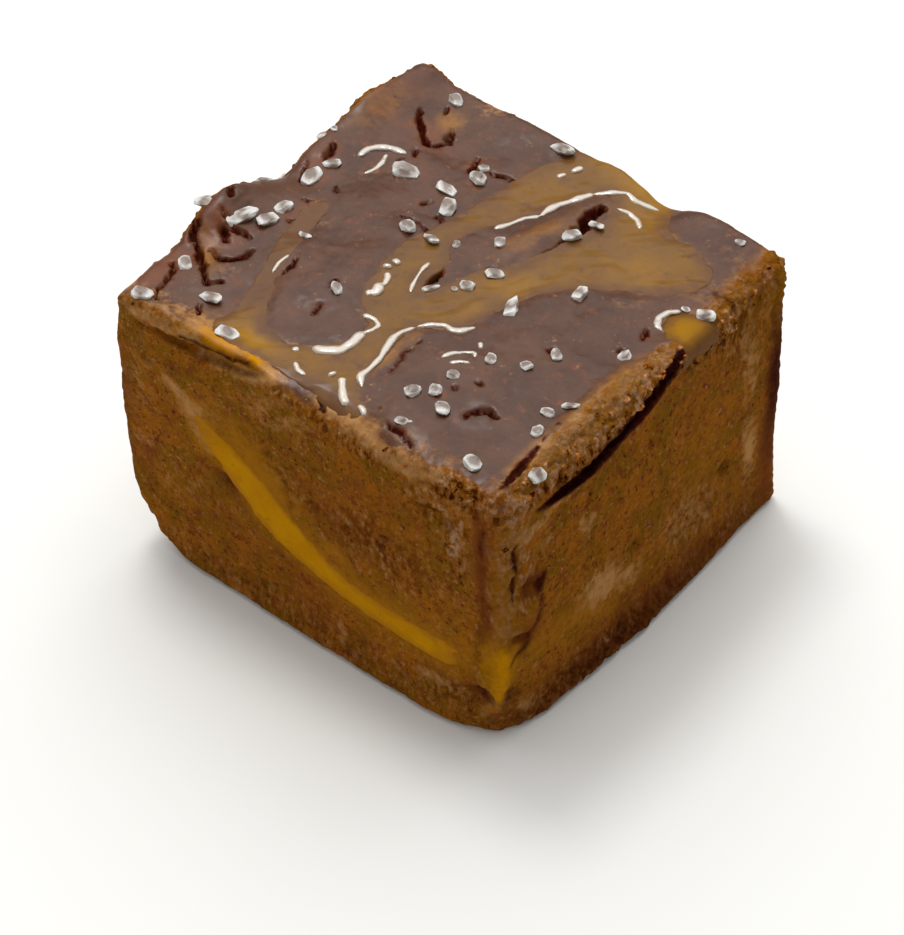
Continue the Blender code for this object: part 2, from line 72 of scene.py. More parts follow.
# The caramel.
CARAMEL_DROP = 0.2
OVERLAP = 0.6  # how far caramel reaches into the chocolate beside it
RIBBON_LEVEL = 9.5
RIBBON_RISE = 0.76
RIBBON_BEND = 2.4
RIBBON_SOFTNESS = 3.0
RIBBON_SPARE = 0.45  # how much thicker the ribbon is made than its groove
RIBBON_SHARE = 0.3  # of the block's triangles
BEAD_RISE = 0.5  # height of a bead to its half-width
BEAD_STEP = 0.25
BEAD_SIDES = 12

# Salt and crumbs.
SEED = 21
SALT_BOXINESS = 3.5
SALT_BEVEL = 0.00005  # in metres
SALT_SIZE = 0.92  # of the half-sizes given for each crystal
SALT_FLATNESS = 0.55  # half-height to half-width
SALT_STAND = 0.35  # share of its half-height that a crystal's middle stands above the ground
CRUMB_SIZE = np.array((0.22, 0.4, 0.18))
CRUMB_SINK = 0.07
CRUMB_PITCH = 1150.0  # of the tints of crumbs, waves to the metre

# The stage, in metres.
FLOOR_COLOUR = (0.87, 0.87, 0.84)
SKY_STRENGTH = 0.41
CENTRE = Vector((0.0, 0.0, 0.02))
AWAY, ASIDE = Vector((-0.64, 0.767, 0.0)), Vector((-0.767, -0.64, 0.0))
LIGHTS = (  # name, place from the centre, size, power
    ("key", AWAY * 0.22 - ASIDE * 0.03 + Vector((0, 0, 0.45)), 0.66, 2.62),
    ("fill", Vector((-0.1, -0.45, 0.1)), 0.25, 0.18),
    ("lamp", AWAY * 0.11 + ASIDE * 0.06 + Vector((0, 0, 0.39)), 0.1, 0.5),
)
CAMERA_PLACE = (112.7248, -136.4947, 173.3382)
CAMERA_RIGHT = (0.7732, 0.6341, -0.0099)
CAMERA_UP = (-0.4295, 0.5351, 0.7275)
CAMERA_AHEAD = (-0.46659, 0.55828, -0.68602)
CAMERA_LENS, CAMERA_SENSOR = 92.41, 36.0

# How far each corner (right, back, top) stands in, and corners worn in: place, reach, pull.
CORNER_INSETS = {
    (0, 0, 0): (0.5, 0.3), (1, 0, 0): (0.2, 0.4), (0, 1, 0): (0.6, 0.3), (1, 1, 0): (0.1, 1.3),
    (0, 0, 1): (0.9, 0.2), (1, 0, 1): (0.5, 0.6), (0, 1, 1): (-0.1, 0.0), (1, 1, 1): (0.2, 2.2),
}
WORN_CORNERS = (
    ((23.5, -22.8, 0.0), 4.4, 1.5),
    ((23.5, 23.0, 0.0), 4.5, -0.4),
    ((-22.5, -22.8, 31.0), 3.0, 0.3),
)

# Each side is an axis and its low or high end. The edges between sides are rounded.
LEFT, RIGHT = (0, 0), (0, 1)
FRONT, BACK = (1, 0), (1, 1)
BASE, TOP = (2, 0), (2, 1)
EDGE_RADII = (
    (LEFT, FRONT, 1.0), (RIGHT, FRONT, 2.2), (RIGHT, BACK, 1.3), (LEFT, BACK, 1.3),
    (LEFT, TOP, 1.5), (RIGHT, TOP, 1.4), (FRONT, TOP, 1.0), (BACK, TOP, 1.3),
    (LEFT, BASE, 10.0), (RIGHT, BASE, 1.0), (FRONT, BASE, 0.8), (BACK, BASE, 1.0),
)

# Swells and dips of the top: centre, half-widths along and across, heading in degrees, height.
TOP_FORMS = (
    ((-21.6, 23), (2.2, 3), 0, 1.2), ((-24, 14.5), (5, 8), 0, 2.4), ((-9, 23.5), (9, 5), 0, 0.9),
    ((2.5, 23.5), (3, 4), 0, 0.8), ((16, 23), (4.5, 3), 0, 0.9), ((-24, -7), (4, 4.6), 0, 3),
    ((-24, 1.2), (3, 2), 0, -0.8), ((-13, -23), (8, 2.4), 0, 0.9), ((-8, -4), (6, 11), 20, 0.8),
    ((13, -9), (8, 10), 0, 0.6), ((4, 10), (1.8, 7), -14, 0.6), ((9, 22.5), (2.4, 4), 0, -0.9),
    ((6.5, -23.4), (8, 2), 0, -1.6), ((22.6, -7), (1.4, 9), 0, 0.8),
)

# Swells and dips of the cut sides: side, centre along and up, half-widths, heading, height.
SIDE_FORMS = (
    (RIGHT, (-7, 30.4), (10, 1.8), 8, 0.7), (RIGHT, (-6, 25.2), (11, 2), 8, -0.4),
    (RIGHT, (16, 28), (4, 6), 0, -0.4), (RIGHT, (-20.5, 15), (1, 14), 0, -0.5),
    (FRONT, (-11, 27.8), (9, 1.4), 6, 0.35), (FRONT, (-8, 22), (7, 3), -20, -0.3),
    (FRONT, (20.5, 15), (1, 12), 0, -0.45), (FRONT, (20, 4.6), (1.6, 1.4), 0, -0.9),
    (FRONT, (0, 0.5), (18, 3), 0, 0.5), (RIGHT, (1, 0.5), (14, 3.5), 0, 1),
    (LEFT, (-9, 31), (6, 4), 0, 0.7),
)

# Outlines of the top caramel, of the chocolate sliver that stands in it, and of the second pool.
SWIRL_OUTLINE = (
    (5.8, -20.6), (3.9, -18.4), (2.9, -14.8), (2.1, -11), (2.9, -8.6), (5.6, -6.9), (6.5, -3.2),
    (8.2, 1.8), (12.4, 6.2), (17.8, 9.4), (19.3, 13.6), (16, 16), (11.6, 17.4), (10.4, 20.6),
    (10, 25), (-1.6, 25), (-1.5, 21), (-3.4, 17.2), (-4.2, 12), (-4.4, 6), (-5.4, 0), (-4.6, -6.4),
    (-2.6, -10.2), (-0.5, -12.2), (-1.3, -15.6), (-5, -18), (-8.6, -17.6), (-12, -12.6),
    (-14.6, -5.6), (-15.8, -0.6), (-17, -0.8), (-16, -5.8), (-13.4, -12.4), (-12.4, -16.4),
    (-12, -20), (-9.6, -21.2), (-4, -20.9), (1, -20.9), (4.4, -21.2),
)
SLIVER_OUTLINE = (
    (4.8, 18.4), (2.4, 15.8), (0.4, 10.8), (-2.2, 5.6), (-3, 2.4), (-1.5, 0), (-1.5, -3),
    (-0.3, -5.6), (0.9, -3), (2.2, 0.6), (4.8, 4.8), (6.2, 9.8), (7, 14.4),
)
DAB_OUTLINE = ((25.5, 4.2), (21.4, 4.2), (19.6, 6.2), (20.4, 8.4), (25.5, 8.8))

# Grooves that are cut in: both ends, bow, half-height, depth, dip in degrees.
GROOVES = (
    ((24.3, -18.6, 28.8), (24.2, 4.8, 33), -2.4, 0.95, 2.8, 35),
    ((-21.8, -23.2, 29.9), (-1.8, -23.1, 32.1), -0.4, 0.7, 1.2, 10),
    ((22.2, -21.4, 32.2), (21.4, -14.6, 32.6), 0, 0.34, 1, 80),
)
# Painted shade: how dark each groove is painted inside.
GROOVE_SHADES = (1.0, 0.15, 1.0)  # how dark each groove is inside

# Creases and pits pressed into the top: the line along each, half-width and depth.
TOP_CREASES = (
    (((-18.6, 17), (-17.4, 15.4), (-16, 14.2), (-14.4, 13.2)), 0.29, 1.3),
    (((-14.4, 13.3), (-13.2, 14.9), (-14.4, 16.8)), 0.24, 1),
    (((-16.9, 19.3), (-16.4, 18.4)), 0.21, 0.8), (((-15.2, 12), (-14.2, 10.8)), 0.21, 0.6),
    (((-15, 10), (-14.8, 8.9)), 0.21, 0.9), (((-9.4, 14.7), (-8.9, 13.7), (-8.5, 12.5)), 0.24, 1.1),
    (((-1.4, 19.8), (-2.2, 18), (-2.8, 16.8), (-3.6, 15.9)), 0.38, 1.4),
    (((-4.4, 14.5), (-5.6, 13.9), (-6.6, 13.5)), 0.21, 0.9),
    (((-8.6, 6.3), (-8.9, 5.4)), 0.21, 0.6), (((-8.6, 2.5), (-7, 2.9), (-5.6, 2.4)), 0.21, 0.7),
    (((-4.4, 3.9), (-6.4, 5)), 0.24, 0.5), (((-21.5, 7), (-20.9, 6), (-20.8, 4.8)), 0.27, 1),
    (((-21.9, 3.4), (-21.3, 2), (-20.2, 0.8)), 0.21, 0.9),
    (((-17.2, 2.2), (-16.2, 1.8)), 0.21, 0.7),
    (((5.5, 15.8), (5.1, 14.2), (5.4, 12.8), (6.3, 11.8), (5.4, 11.3)), 0.44, 1.7),
    (((5.9, 9.7), (5.9, 8.2), (5.5, 6.5)), 0.29, 1.4), (((2.5, 1.5), (3.2, 1.8)), 0.27, 0.9),
    (((-1.5, -0.7), (-0.9, -1.6), (-0.5, -2.6)), 0.38, 1.2),
    (((-0.9, -2.6), (-0.2, -4.2), (0.3, -5.6), (1, -6.9)), 0.21, 1.2),
    (((-18.2, -1.2), (-16.6, -1.3), (-15.6, -2.3), (-15.6, -3.8), (-17, -4.6)), 0.24, 1),
    (((-23.2, -5.9), (-22.2, -7.2)), 0.24, 0.8),
    (((-21.8, -8.8), (-19.8, -9.5), (-18, -8.9)), 0.21, 0.8),
    (((-20.6, -10), (-19.4, -10.8)), 0.36, 1),
    (((-16.7, -10), (-16.7, -11.8), (-18, -13), (-19.8, -12.7)), 0.24, 1.1),
    (((-23.6, -11.2), (-22, -12.5), (-20.4, -13.6), (-18.6, -15), (-16.6, -16.6)), 0.24, 1.3),
    (((-22.9, -11), (-22.3, -12.8)), 0.29, 1), (((-16.6, -16.2), (-15.6, -15.3)), 0.21, 0.9),
    (((-21.6, -16.2), (-20.4, -17), (-20, -18.8), (-19.3, -20.6), (-18.3, -21.3)), 0.22, 1.2),
    (((-15.3, -18.9), (-14.2, -20.1)), 0.21, 0.7),
    (((-12.4, -8.6), (-12, -9.8), (-12.2, -11.3)), 0.21, 0.9),
    (((-6.9, -9.2), (-6.9, -10.2)), 0.21, 0.9), (((-6.2, -12.4), (-5.8, -13.6)), 0.21, 0.5),
    (((12.2, -11.8), (12.7, -12)), 0.21, 0.7),
    (((13.9, -15.8), (14.5, -14.6), (15.2, -14.1), (16.2, -14.2)), 0.24, 0.9),
    (((10.7, -13.4), (11.3, -14)), 0.24, 0.5), (((14.5, -4.6), (14.7, -3.9)), 0.24, 0.8),
    (((19.3, 4), (19.9, 2.5)), 0.21, 0.8), (((19.3, 0.2), (19.2, -0.5)), 0.21, 0.7),
    (((12.3, 16.9), (12.9, 16), (13.6, 15)), 0.21, 0.7),
    (((9.2, -20.7), (10.8, -20.9), (12.4, -21.5)), 0.21, 0.7),
    (((2.8, -22), (1.8, -21.4)), 0.21, 0.7), (((4.4, -10.6), (4.2, -13), (4.8, -15.4)), 0.24, 0.35),
)

# Pits in the cut sides: place, radii, depth.
SIDE_PITS = (
    ((-9.6, -23.1, 15.4), (1.3, 1.4, 1), 0.7), ((-1.6, -23.1, 17.4), (0.6, 1, 0.5), 0.4),
    ((1.2, -23.1, 18.8), (0.9, 1, 0.5), 0.5), ((10, -23.1, 19.8), (0.7, 1, 0.5), 0.4),
    ((17.6, -23.1, 26.4), (0.6, 1, 0.9), 0.4), ((21.3, -22.6, 6), (1.3, 1.6, 1.3), 0.8),
    ((3.2, -23, 33), (0.4, 0.8, 1.3), 0.9), ((24.2, -18.6, 19.2), (1.4, 1, 1.1), 0.9),
    ((24.2, -19.8, 13.2), (1.4, 2, 0.5), 0.7), ((24.2, -20.8, 6.2), (1.4, 1.3, 1.5), 0.7),
    ((24.2, -9.7, 18.6), (1.2, 0.3, 1.3), 0.4), ((24.2, -2.8, 12), (1.2, 0.5, 0.8), 0.5),
    ((24.2, 12, 11.4), (1.2, 0.9, 0.9), 0.7), ((24.4, -5, 2.8), (1.4, 0.5, 1.2), 0.8),
    ((24.4, -12.6, 3.2), (1.4, 0.7, 0.6), 0.5), ((-22.8, 8, 14), (1.4, 1.4, 0.8), 0.6),
    ((-23, -10, 20), (1.4, 0.6, 1.2), 0.5), ((-10, 22.9, 18), (1.6, 1.2, 0.8), 0.6),
    ((6, 22.9, 6), (1, 1.2, 0.7), 0.5),
)

# Where the chocolate's finish changes; the dark finish is painted shade and the gold finish is
# caramel lightened by a painted highlight. By finish and side: centre, half-widths, heading,
# strength.
FINISHES = ("rosy", "amber", "gold", "crumb", "dark", "red", "pale")
PATCHES = {
    ("rosy", FRONT): (
        ((-20.5, 24), (2.6, 6), 0, 0.12), ((-13.4, 22.8), (1.8, 1.4), 0, 0.5),
        ((-20.8, 15), (1.4, 1), 0, 0.3), ((-2, 28), (5, 2.2), 0, 0.22),
        ((12.5, 30.6), (1.6, 1), 0, 0.9), ((4.5, 4), (0.5, 1.2), 0, 0.6),
        ((16, 5.4), (1.6, 0.8), 0, 0.5),
    ),
    ("amber", FRONT): (
        ((-12.4, 19.6), (1.6, 2.4), -40, 0.8), ((-5.4, 19.6), (6.6, 2.3), -38, 0.95),
        ((3.5, 14.2), (4, 1.4), -24, 0.55), ((-16, 11), (4.6, 3), 0, 0.22),
        ((-10.5, 32.2), (3.8, 1.6), 0, 0.95), ((6, 33), (1.4, 1), 0, 0.8),
        ((19.6, 10.6), (2.2, 3), 0, 0.6), ((23.4, 11), (1.1, 4.5), 0, 1),
    ),
    ("red", FRONT): (
        ((-20.8, 14), (2.4, 4), 0, 0.45), ((22, 22), (1.4, 12), 0, 0.55),
        ((21, 6.4), (2.2, 2.6), 0, 0.6), ((6, 19), (8, 3.6), -10, 0.35),
        ((-9, 14.8), (2.4, 1.4), -40, 0.6), ((-4, 8), (12, 4), -20, 0.3),
        ((8, 25), (9, 4), 0, 0.25), ((-22, 20), (2, 8), 0, 0.4), ((0, 3), (22, 2.6), 0, 0.2),
    ),
    ("crumb", FRONT): (
        ((18.4, 25), (1.4, 4.2), 0, 0.9), ((9, 18.6), (8, 3.4), -8, 0.55),
        ((-3, 20.4), (6, 1.6), -30, 0.5), ((0, 2.6), (24, 2.4), 0, 0.35),
        ((17, 4.6), (4, 2.4), 0, 0.5), ((21.4, 9), (1.5, 5), 0, 0.9),
        ((21.6, 20), (1.2, 12), 0, 0.7), ((16, 28), (3.6, 4), 0, 0.55), ((-15, 12), (6, 3), 0, 0.3),
    ),
    ("pale", FRONT): (
        ((18.4, 25.5), (1.6, 4.2), 0, 0.8),
    ),
    # Painted shade in the pits near the right-hand corner.
    ("dark", FRONT): (
        ((20.8, 5.6), (1.5, 1.3), 0, 0.9), ((21, 14.4), (0.7, 1.4), 0, 0.6),
    ),
    ("amber", RIGHT): (
        ((-22.6, 11), (1.5, 4), 0, 1), ((-15, 11), (6, 1.8), -4, 0.5),
        ((-8, 8.6), (8, 2.2), -5, 0.4), ((8, 16), (5, 6), 0, 0.25), ((16, 29.5), (3, 3.4), 0, 0.45),
        ((20.2, 28.4), (2.2, 4), 0, 1),
    ),
    ("rosy", RIGHT): (
        ((-7.8, 10.8), (2.6, 1.7), -25, 1.4), ((-3.6, 8.8), (1.4, 1.6), 60, 0.7),
        ((5.5, 9.6), (4.2, 2.4), -20, 0.35), ((16.2, 10.8), (1, 3.2), 8, 1),
        ((15.2, 23.5), (1.2, 5), 6, 0.5), ((-16.2, 23.2), (1, 0.8), 0, 0.5),
        ((-10.6, 21.2), (1.6, 1), -40, 0.55), ((-19, 26.4), (2.6, 0.9), 0, 0.6),
        ((-18.6, 3.6), (1, 0.8), -60, 0.7), ((-22.2, 5.6), (0.9, 2.2), 0, 0.7),
    ),
    ("crumb", RIGHT): (
        ((6.5, 9.4), (4.6, 2.8), -20, 0.6), ((15, 29), (5, 4.4), 0, 0.75),
        ((-20, 23), (1.6, 6), 0, 0.9), ((-8, 2.4), (14, 2.6), 0, 0.85), ((12, 3), (8, 2), 0, 0.45),
        ((19.6, 27), (1.8, 4), 0, 0.8),
    ),
    # Painted shade in the cracks and pits of this side, and darker along its foot.
    ("dark", RIGHT): (
        ((19.8, 18), (1.2, 8.5), 0, 1), ((21.4, 18), (1.4, 9.5), 0, 1),
        ((-17.3, 19), (0.5, 1.2), -20, 1.7), ((-21, 6), (1.4, 1.4), 0, 0.7),
        ((-2, 1.8), (20, 2.2), 0, 0.55),
    ),
    ("red", RIGHT): (
        ((19.8, 9), (1.6, 14), 0, 0.9), ((-2, 3.4), (20, 2.6), 0, 0.6),
        ((-19, 13.4), (2.4, 1.6), 0, 0.7), ((-18.4, 19.4), (1.5, 1.4), 0, 0.8),
    ),
    ("rosy", BACK): (
        ((8, 24), (5, 3), 15, 0.5), ((-14, 9), (3, 2), -20, 0.7),
    ),
    ("amber", BACK): (
        ((2, 13), (7, 2), 20, 0.5),
    ),
    ("crumb", BACK): (
        ((-6, 20), (9, 4), 10, 0.5), ((0, 2.6), (24, 2.4), 0, 0.6), ((20, 18), (2.6, 10), 0, 0.6),
    ),
    ("rosy", LEFT): (
        ((-12, 22), (3, 4), 10, 0.5), ((9, 14), (2.4, 1.8), -30, 0.7),
    ),
    ("amber", LEFT): (
        ((0, 10), (8, 2.4), 8, 0.35),
    ),
    ("crumb", LEFT): (
        ((4, 22), (8, 4), -10, 0.5), ((0, 2.8), (24, 2.6), 0, 0.65), ((-18, 12), (3, 8), 0, 0.5),
    ),
    ("rosy", TOP): (
        ((-12.8, 21.8), (2, 1.6), 0, 0.2), ((-16, 6.6), (1, 1.6), 0, 0.12),
        ((-16.6, -14), (1, 1), 0, 0.15), ((-14.4, -3), (1.2, 1.6), 30, 0.1),
        ((20.4, 11.6), (1.6, 3), 0, 0.08), ((19.4, 18), (2.2, 1.6), 0, 0.08),
        ((15.6, 5.6), (1.6, 1), 30, 0.1),
    ),
    ("amber", TOP): (
        ((-9.6, -20.4), (4, 1.6), 0, 0.9), ((-19.4, -13.4), (2.6, 0.8), -40, 0.5),
        ((-15.2, 17.6), (1.4, 1.6), 0, 0.5), ((-22, 14), (2.4, 4), 0, 0.3),
        ((22.4, 6.2), (1.8, 1.8), 0, 0.9), ((22.6, 14), (1.6, 6), 8, 0.4),
        ((3.2, -13), (1, 5), 0, 0.45), ((7, 18.4), (2.4, 1.6), 0, 0.6),
        ((5, -20.8), (3, 1), -10, 0.5), ((3.4, 9), (1.2, 5), -14, 0.35),
    ),
    ("red", TOP): (
        ((-20.4, -11), (2.6, 3), 0, 0.6), ((-21.6, -17), (2.2, 4.6), 0, 0.7),
        ((-17, -2.8), (1.6, 1.6), 0, 0.6), ((-16, 14.6), (2.2, 2.4), 0, 0.5),
        ((-21.2, 5), (1.8, 2.6), 0, 0.5), ((-9, 13.6), (0.9, 1.2), 0, 0.7),
        ((22.2, -18), (0.9, 3.6), 0, 0.6), ((22.6, 16), (1.2, 5), 0, 0.6),
        ((-22, 17), (2.6, 4), 0, 0.35), ((-13, 11), (7, 8), 0, 0.14),
    ),
}

# Lines of finish along an edge or a smear, the dark ones painted shade and the gold ones partly a
# painted highlight. By finish and side: line, half-width, strength.
STROKES = {
    # The gold strokes are golden caramel smears, lightened into a painted highlight.
    ("gold", RIGHT): (
        (((-22.4, 3.6), (-22, 7), (-21.8, 10), (-21.9, 13)), 0.8, 0.95),
    ),
    ("gold", TOP): (
        (((-12, -21.6), (-8, -21.6), (-3.6, -21.8)), 0.7, 0.9),
    ),
    ("pale", TOP): (
        (((22.4, -21), (22.4, -12), (22.6, -2), (22.8, 3.6)), 1.9, 1),
        (((22, 9), (22.4, 14), (22, 19.5)), 1.6, 0.9),
    ),
    ("pale", RIGHT): (
        (((-21, 31.2), (-12, 31.6), (-4, 32.6), (3, 34.2)), 1.4, 0.85),
        (((-22, 31.5), (-18.6, 31)), 1.8, 0.9), (((-19.8, 30), (-19, 21)), 1.2, 0.9),
        (((17.6, 33), (19.6, 26)), 2, 0.8),
    ),
    ("pale", FRONT): (
        (((1, 32.8), (6, 32), (14, 31), (17, 32)), 1.9, 0.8),
        (((23.5, 31), (23.4, 22), (23.6, 13)), 0.9, 0.9),
    ),
    ("crumb", FRONT): (
        (((23.5, 31), (23.4, 22), (23.6, 13)), 0.8, 1),
    ),
    ("rosy", FRONT): (
        (((-22.4, 31.2), (-16, 31.4), (-12, 32)), 0.9, 0.75),
        (((-12, 30.2), (-6, 30.9), (-1, 32.4)), 0.5, 0.7),
        (((-1, 32.6), (3.5, 31.2), (8, 30.9), (13, 30), (16.5, 31.4)), 0.6, 1),
        (((-17, 25), (-14.4, 23.6), (-13.2, 21), (-11.4, 18.6)), 0.8, 0.9),
        (((23.8, 28), (23.7, 22), (23.9, 12)), 0.3, 0.55),
    ),
    ("amber", FRONT): (
        (((23.4, 29), (23.3, 22), (23.6, 12)), 1, 0.6),
    ),
    ("red", FRONT): (
        (((21, 29.5), (21.2, 22), (21.8, 15)), 1.1, 0.95),
    ),
    # Painted shade: under the lip of the front rim and in its cracks.
    ("dark", FRONT): (
        (((21.6, 28), (21.2, 25)), 0.4, 0.6), (((-14, 31.4), (-9, 31.7), (-3, 32.8)), 0.28, 1),
        (((3, 31.6), (3.1, 34.4)), 0.35, 0.9),
    ),
    # Painted shade in the cracks of this side.
    ("dark", RIGHT): (
        (((-20.9, 26), (-20.5, 22.5), (-20.8, 19)), 0.4, 1.1),
        (((-17.2, 17), (-17.8, 14.5), (-19.4, 12), (-21.2, 10.6)), 0.4, 0.9),
        (((12.4, 33.6), (12.2, 31)), 0.4, 0.7),
    ),
    ("rosy", TOP): (
        (((22, -20.5), (22.2, -14), (22.4, -6), (22.8, 2.6)), 0.8, 0.5),
    ),
    ("amber", RIGHT): (
        (((-20, 31.6), (-8, 32.4), (3, 33.4)), 1.4, 0.45),
        (((-22, 9.5), (-14, 10), (-6, 9.2)), 0.9, 0.6),
    ),
    ("rosy", RIGHT): (
        (((-18, 26.8), (-10, 26.9), (-4, 27.6)), 0.4, 0.4),
    ),
    ("red", RIGHT): (
        (((16.6, 33), (16.2, 27)), 0.6, 0.95), (((19.2, 32), (19, 24)), 0.5, 0.8),
    ),
    ("rosy", LEFT): (
        (((-20, 29.8), (-8, 30.2), (4, 29.6), (16, 30.4)), 0.5, 0.7),
    ),
    ("rosy", BACK): (
        (((-20, 30), (-8, 29.6)), 0.5, 0.7), (((12, 30.2), (20, 29.6)), 0.5, 0.7),
    ),
}

# Crumbled bands along the top edges: side, stretch, width on top, depth down the side, strength.
RIM_BANDS = (
    (FRONT, (-26, 1), 0.7, 1.3, 0.6), (FRONT, (1, 17), 1.2, 1.4, 0.6),
    (FRONT, (16, 26), 1.6, 2.4, 0.95), (RIGHT, (-26, 6), 2.2, 2.8, 1),
    (RIGHT, (7, 26), 2.6, 4, 0.8), (BACK, (-26, -2.5), 0.8, 2, 0.7),
    (BACK, (10.5, 26), 0.9, 2.2, 0.7), (LEFT, (-26, 26), 0.8, 2.4, 0.8),
)

# Salt crystals: place, half-length and half-width, heading of the long side in degrees.
CRYSTALS = (
    ((-16.8, 20.4), (1.2, 0.8), -20), ((-3.2, 20.6), (1.5, 0.8), -25), ((-7, 12), (1.5, 0.9), -35),
    ((-7.7, 13.7), (0.7, 0.6), 30), ((-13.2, 8.2), (1.7, 1.1), 10), ((-8.3, 8.6), (1.4, 0.7), -25),
    ((-6.2, 6.3), (1.3, 0.95), -10), ((-19.8, 4.8), (1.1, 0.75), -25),
    ((-20.2, 2.1), (1.6, 1), -35), ((-23.7, 8), (1.1, 0.8), 20), ((-22.8, 8.6), (0.5, 0.4), 0),
    ((-23.8, 2.5), (1.3, 1), 60), ((-23.7, 0.6), (1, 0.85), 10), ((-23.6, -1.2), (1.1, 0.85), -30),
    ((-7, 1.2), (1.1, 0.9), -20), ((-4.3, 1.6), (1.1, 0.7), 60), ((-2.1, 2.6), (0.55, 0.45), 0),
    ((1.1, 5.2), (0.8, 0.7), 0), ((3.4, 1.5), (1.1, 0.75), -20), ((2.5, -1.5), (0.85, 0.7), -30),
    ((1.8, -2.5), (0.4, 0.35), 0), ((-0.1, -3.7), (1.2, 0.6), -55),
    ((-18.6, -3.6), (1.1, 0.8), -35), ((-18.4, -6.2), (1.4, 0.9), -15),
    ((-20.1, -7.9), (1.9, 0.85), -12), ((-14.3, -5.4), (0.9, 0.45), -60),
    ((-23.7, -9), (1.3, 0.8), 100), ((-20.2, -15.7), (1.1, 0.8), 100),
    ((-15, -17.7), (1.5, 0.8), -35), ((-20.1, -21.6), (1.3, 0.9), -30),
    ((-10, -20.7), (1.3, 0.9), -25), ((-6.2, -10), (0.9, 0.6), -60), ((7.8, -1.6), (1.6, 0.8), 38),
    ((11.6, 3.9), (1.1, 0.75), -35), ((20, -0.5), (0.8, 0.6), -65),
    ((15.4, -4.6), (0.95, 0.65), -60), ((14.3, -7.6), (0.75, 0.65), 0),
    ((11.3, -8.9), (0.75, 0.6), 20), ((20.5, -9.1), (0.95, 0.6), -70),
    ((19.4, -11), (0.8, 0.6), 20), ((20.3, -13.7), (0.75, 0.65), -30),
    ((24.2, -17.4), (1.1, 0.8), -20), ((18.3, -20.1), (1, 0.9), 70), ((8.4, -16.4), (0.9, 0.8), 70),
    ((9.9, -15), (1, 0.7), -35), ((11.8, -16.4), (1.1, 0.8), 15), ((9.8, -12.4), (0.7, 0.6), 40),
    ((10, -19.8), (0.7, 0.45), 20), ((6.5, 13.3), (1.1, 0.5), -65), ((5.7, 10.4), (1.1, 0.75), 5),
    ((22.2, 9), (1.2, 0.8), -40), ((20.3, 8.6), (0.5, 0.4), 0), ((18.8, 19.6), (0.6, 0.45), 0),
)

# Beads of syrup that stand on the top: the line along each and its half-width.
BEADS = (
    (((7, -5.7), (6.3, -7), (5.6, -7.5), (4.7, -7.3), (3.5, -8.2), (2.6, -9.1)), 0.38),
    (((2.6, -9.1), (2.2, -10.3), (2.1, -11.6), (2.5, -13), (3, -14.5), (3.1, -16), (3, -17.3),
      (4.2, -18.4)), 0.38),
    (((-2.2, -11), (-1, -10.7), (0, -11.1), (-0.1, -12), (-0.6, -12.9)), 0.37),
    (((-0.6, -12.6), (-0.4, -14.4), (-0.7, -15.9), (-1.8, -16.8), (-3, -17.1)), 0.62),
    (((-3.7, -17.9), (-4.1, -18.6)), 0.43), (((0.7, -18.6), (1.2, -18.8)), 0.43),
    (((1.9, -18.5), (2.8, -19.5), (3.6, -20.3), (4.5, -20.8)), 0.5),
    (((5.2, -20.2), (5.9, -20.3), (6.6, -20.8)), 0.28),
    (((-2.8, -19.6), (-1.9, -20.2), (-0.8, -20.3)), 0.28), (((-4.3, -3.1), (-4.5, -3.9)), 0.5),
    (((-4.8, -4.3), (-4.5, -4.8)), 0.4),
    (((-4.2, -5.1), (-3.6, -5.7), (-3.3, -6.4), (-3.3, -7)), 0.42),
    (((-3.9, -7), (-3.3, -7.3), (-3.1, -7.9), (-2.9, -8.5)), 0.5),
    (((-3.8, -8.2), (-3.3, -8.8)), 0.4),
    (((-2.3, -1), (-2.2, -2.3), (-1.8, -3.6), (-1.4, -4.8), (-0.9, -5.7)), 0.28),
    (((9.3, 20), (8, 19.5), (6.8, 19), (5.8, 19.3), (4.9, 18.5), (3.3, 17.1)), 0.37),
    (((3.3, 17.1), (2.4, 15.2), (1.6, 13.8), (1.3, 12.2), (1.3, 11.2)), 0.46),
    (((1.3, 11.2), (0.3, 10), (-0.2, 8.5), (-0.9, 6.7)), 0.34),
    (((9.9, 15.8), (8.8, 16.8), (7.6, 17.1), (6.4, 16.6)), 0.31),
    (((-18.6, 7.3), (-18.6, 8.8), (-17.9, 9.9), (-17, 10.5), (-16, 10.6), (-15.1, 10.7)), 0.46),
    (((-16.8, 9.6), (-16.2, 8.2), (-16.1, 7), (-16.4, 5.6)), 0.31),
    (((7.4, -11.3), (7.8, -10.2), (8.6, -9.3), (9.4, -8.8), (9.9, -9.5)), 0.31),
    (((8.4, -11.4), (9.2, -10.6), (10.1, -10.3)), 0.26), (((8.7, -7.2), (9.4, -8)), 0.28),
    (((9.4, -20.1), (10.2, -19.6), (11, -19.3)), 0.25),
    (((20.1, 8.3), (19.3, 7.2), (19.1, 6), (19.7, 4.9), (20.5, 4.7)), 0.37),
    (((-0.1, 20), (-0.7, 18.6)), 0.38), (((-0.8, 18.2), (-1.4, 17.2)), 0.36),
    (((-13.3, -8.6), (-13.3, -10.2), (-12.9, -11.6)), 0.25),
)

# The brightest places of the top caramel: place, reach, strength.
POOL_GLEAMS = (
    ((6.5, 21.5), (4.5, 2), 1), ((-8, -20), (3.4, 1.6), 1), ((21.9, 6.2), (2, 2.2), 1),
    ((9, 17.6), (2.6, 1.6), 0.4), ((6, 1.6), (2.6, 2.2), 0.4), ((13, 10.5), (3, 2.4), 0.4),
    ((5.4, -4.4), (1.2, 2), 0.4),
)


def smooth_step(low, high, value):
    """0 below low, 1 above high, and a soft S between."""
    t = np.clip((value - low) / (high - low), 0.0, 1.0)
    return t * t * (3 - 2 * t)


def highest(*fields):
    """The highest of several fields at each point."""
    return np.maximum.reduce(fields)


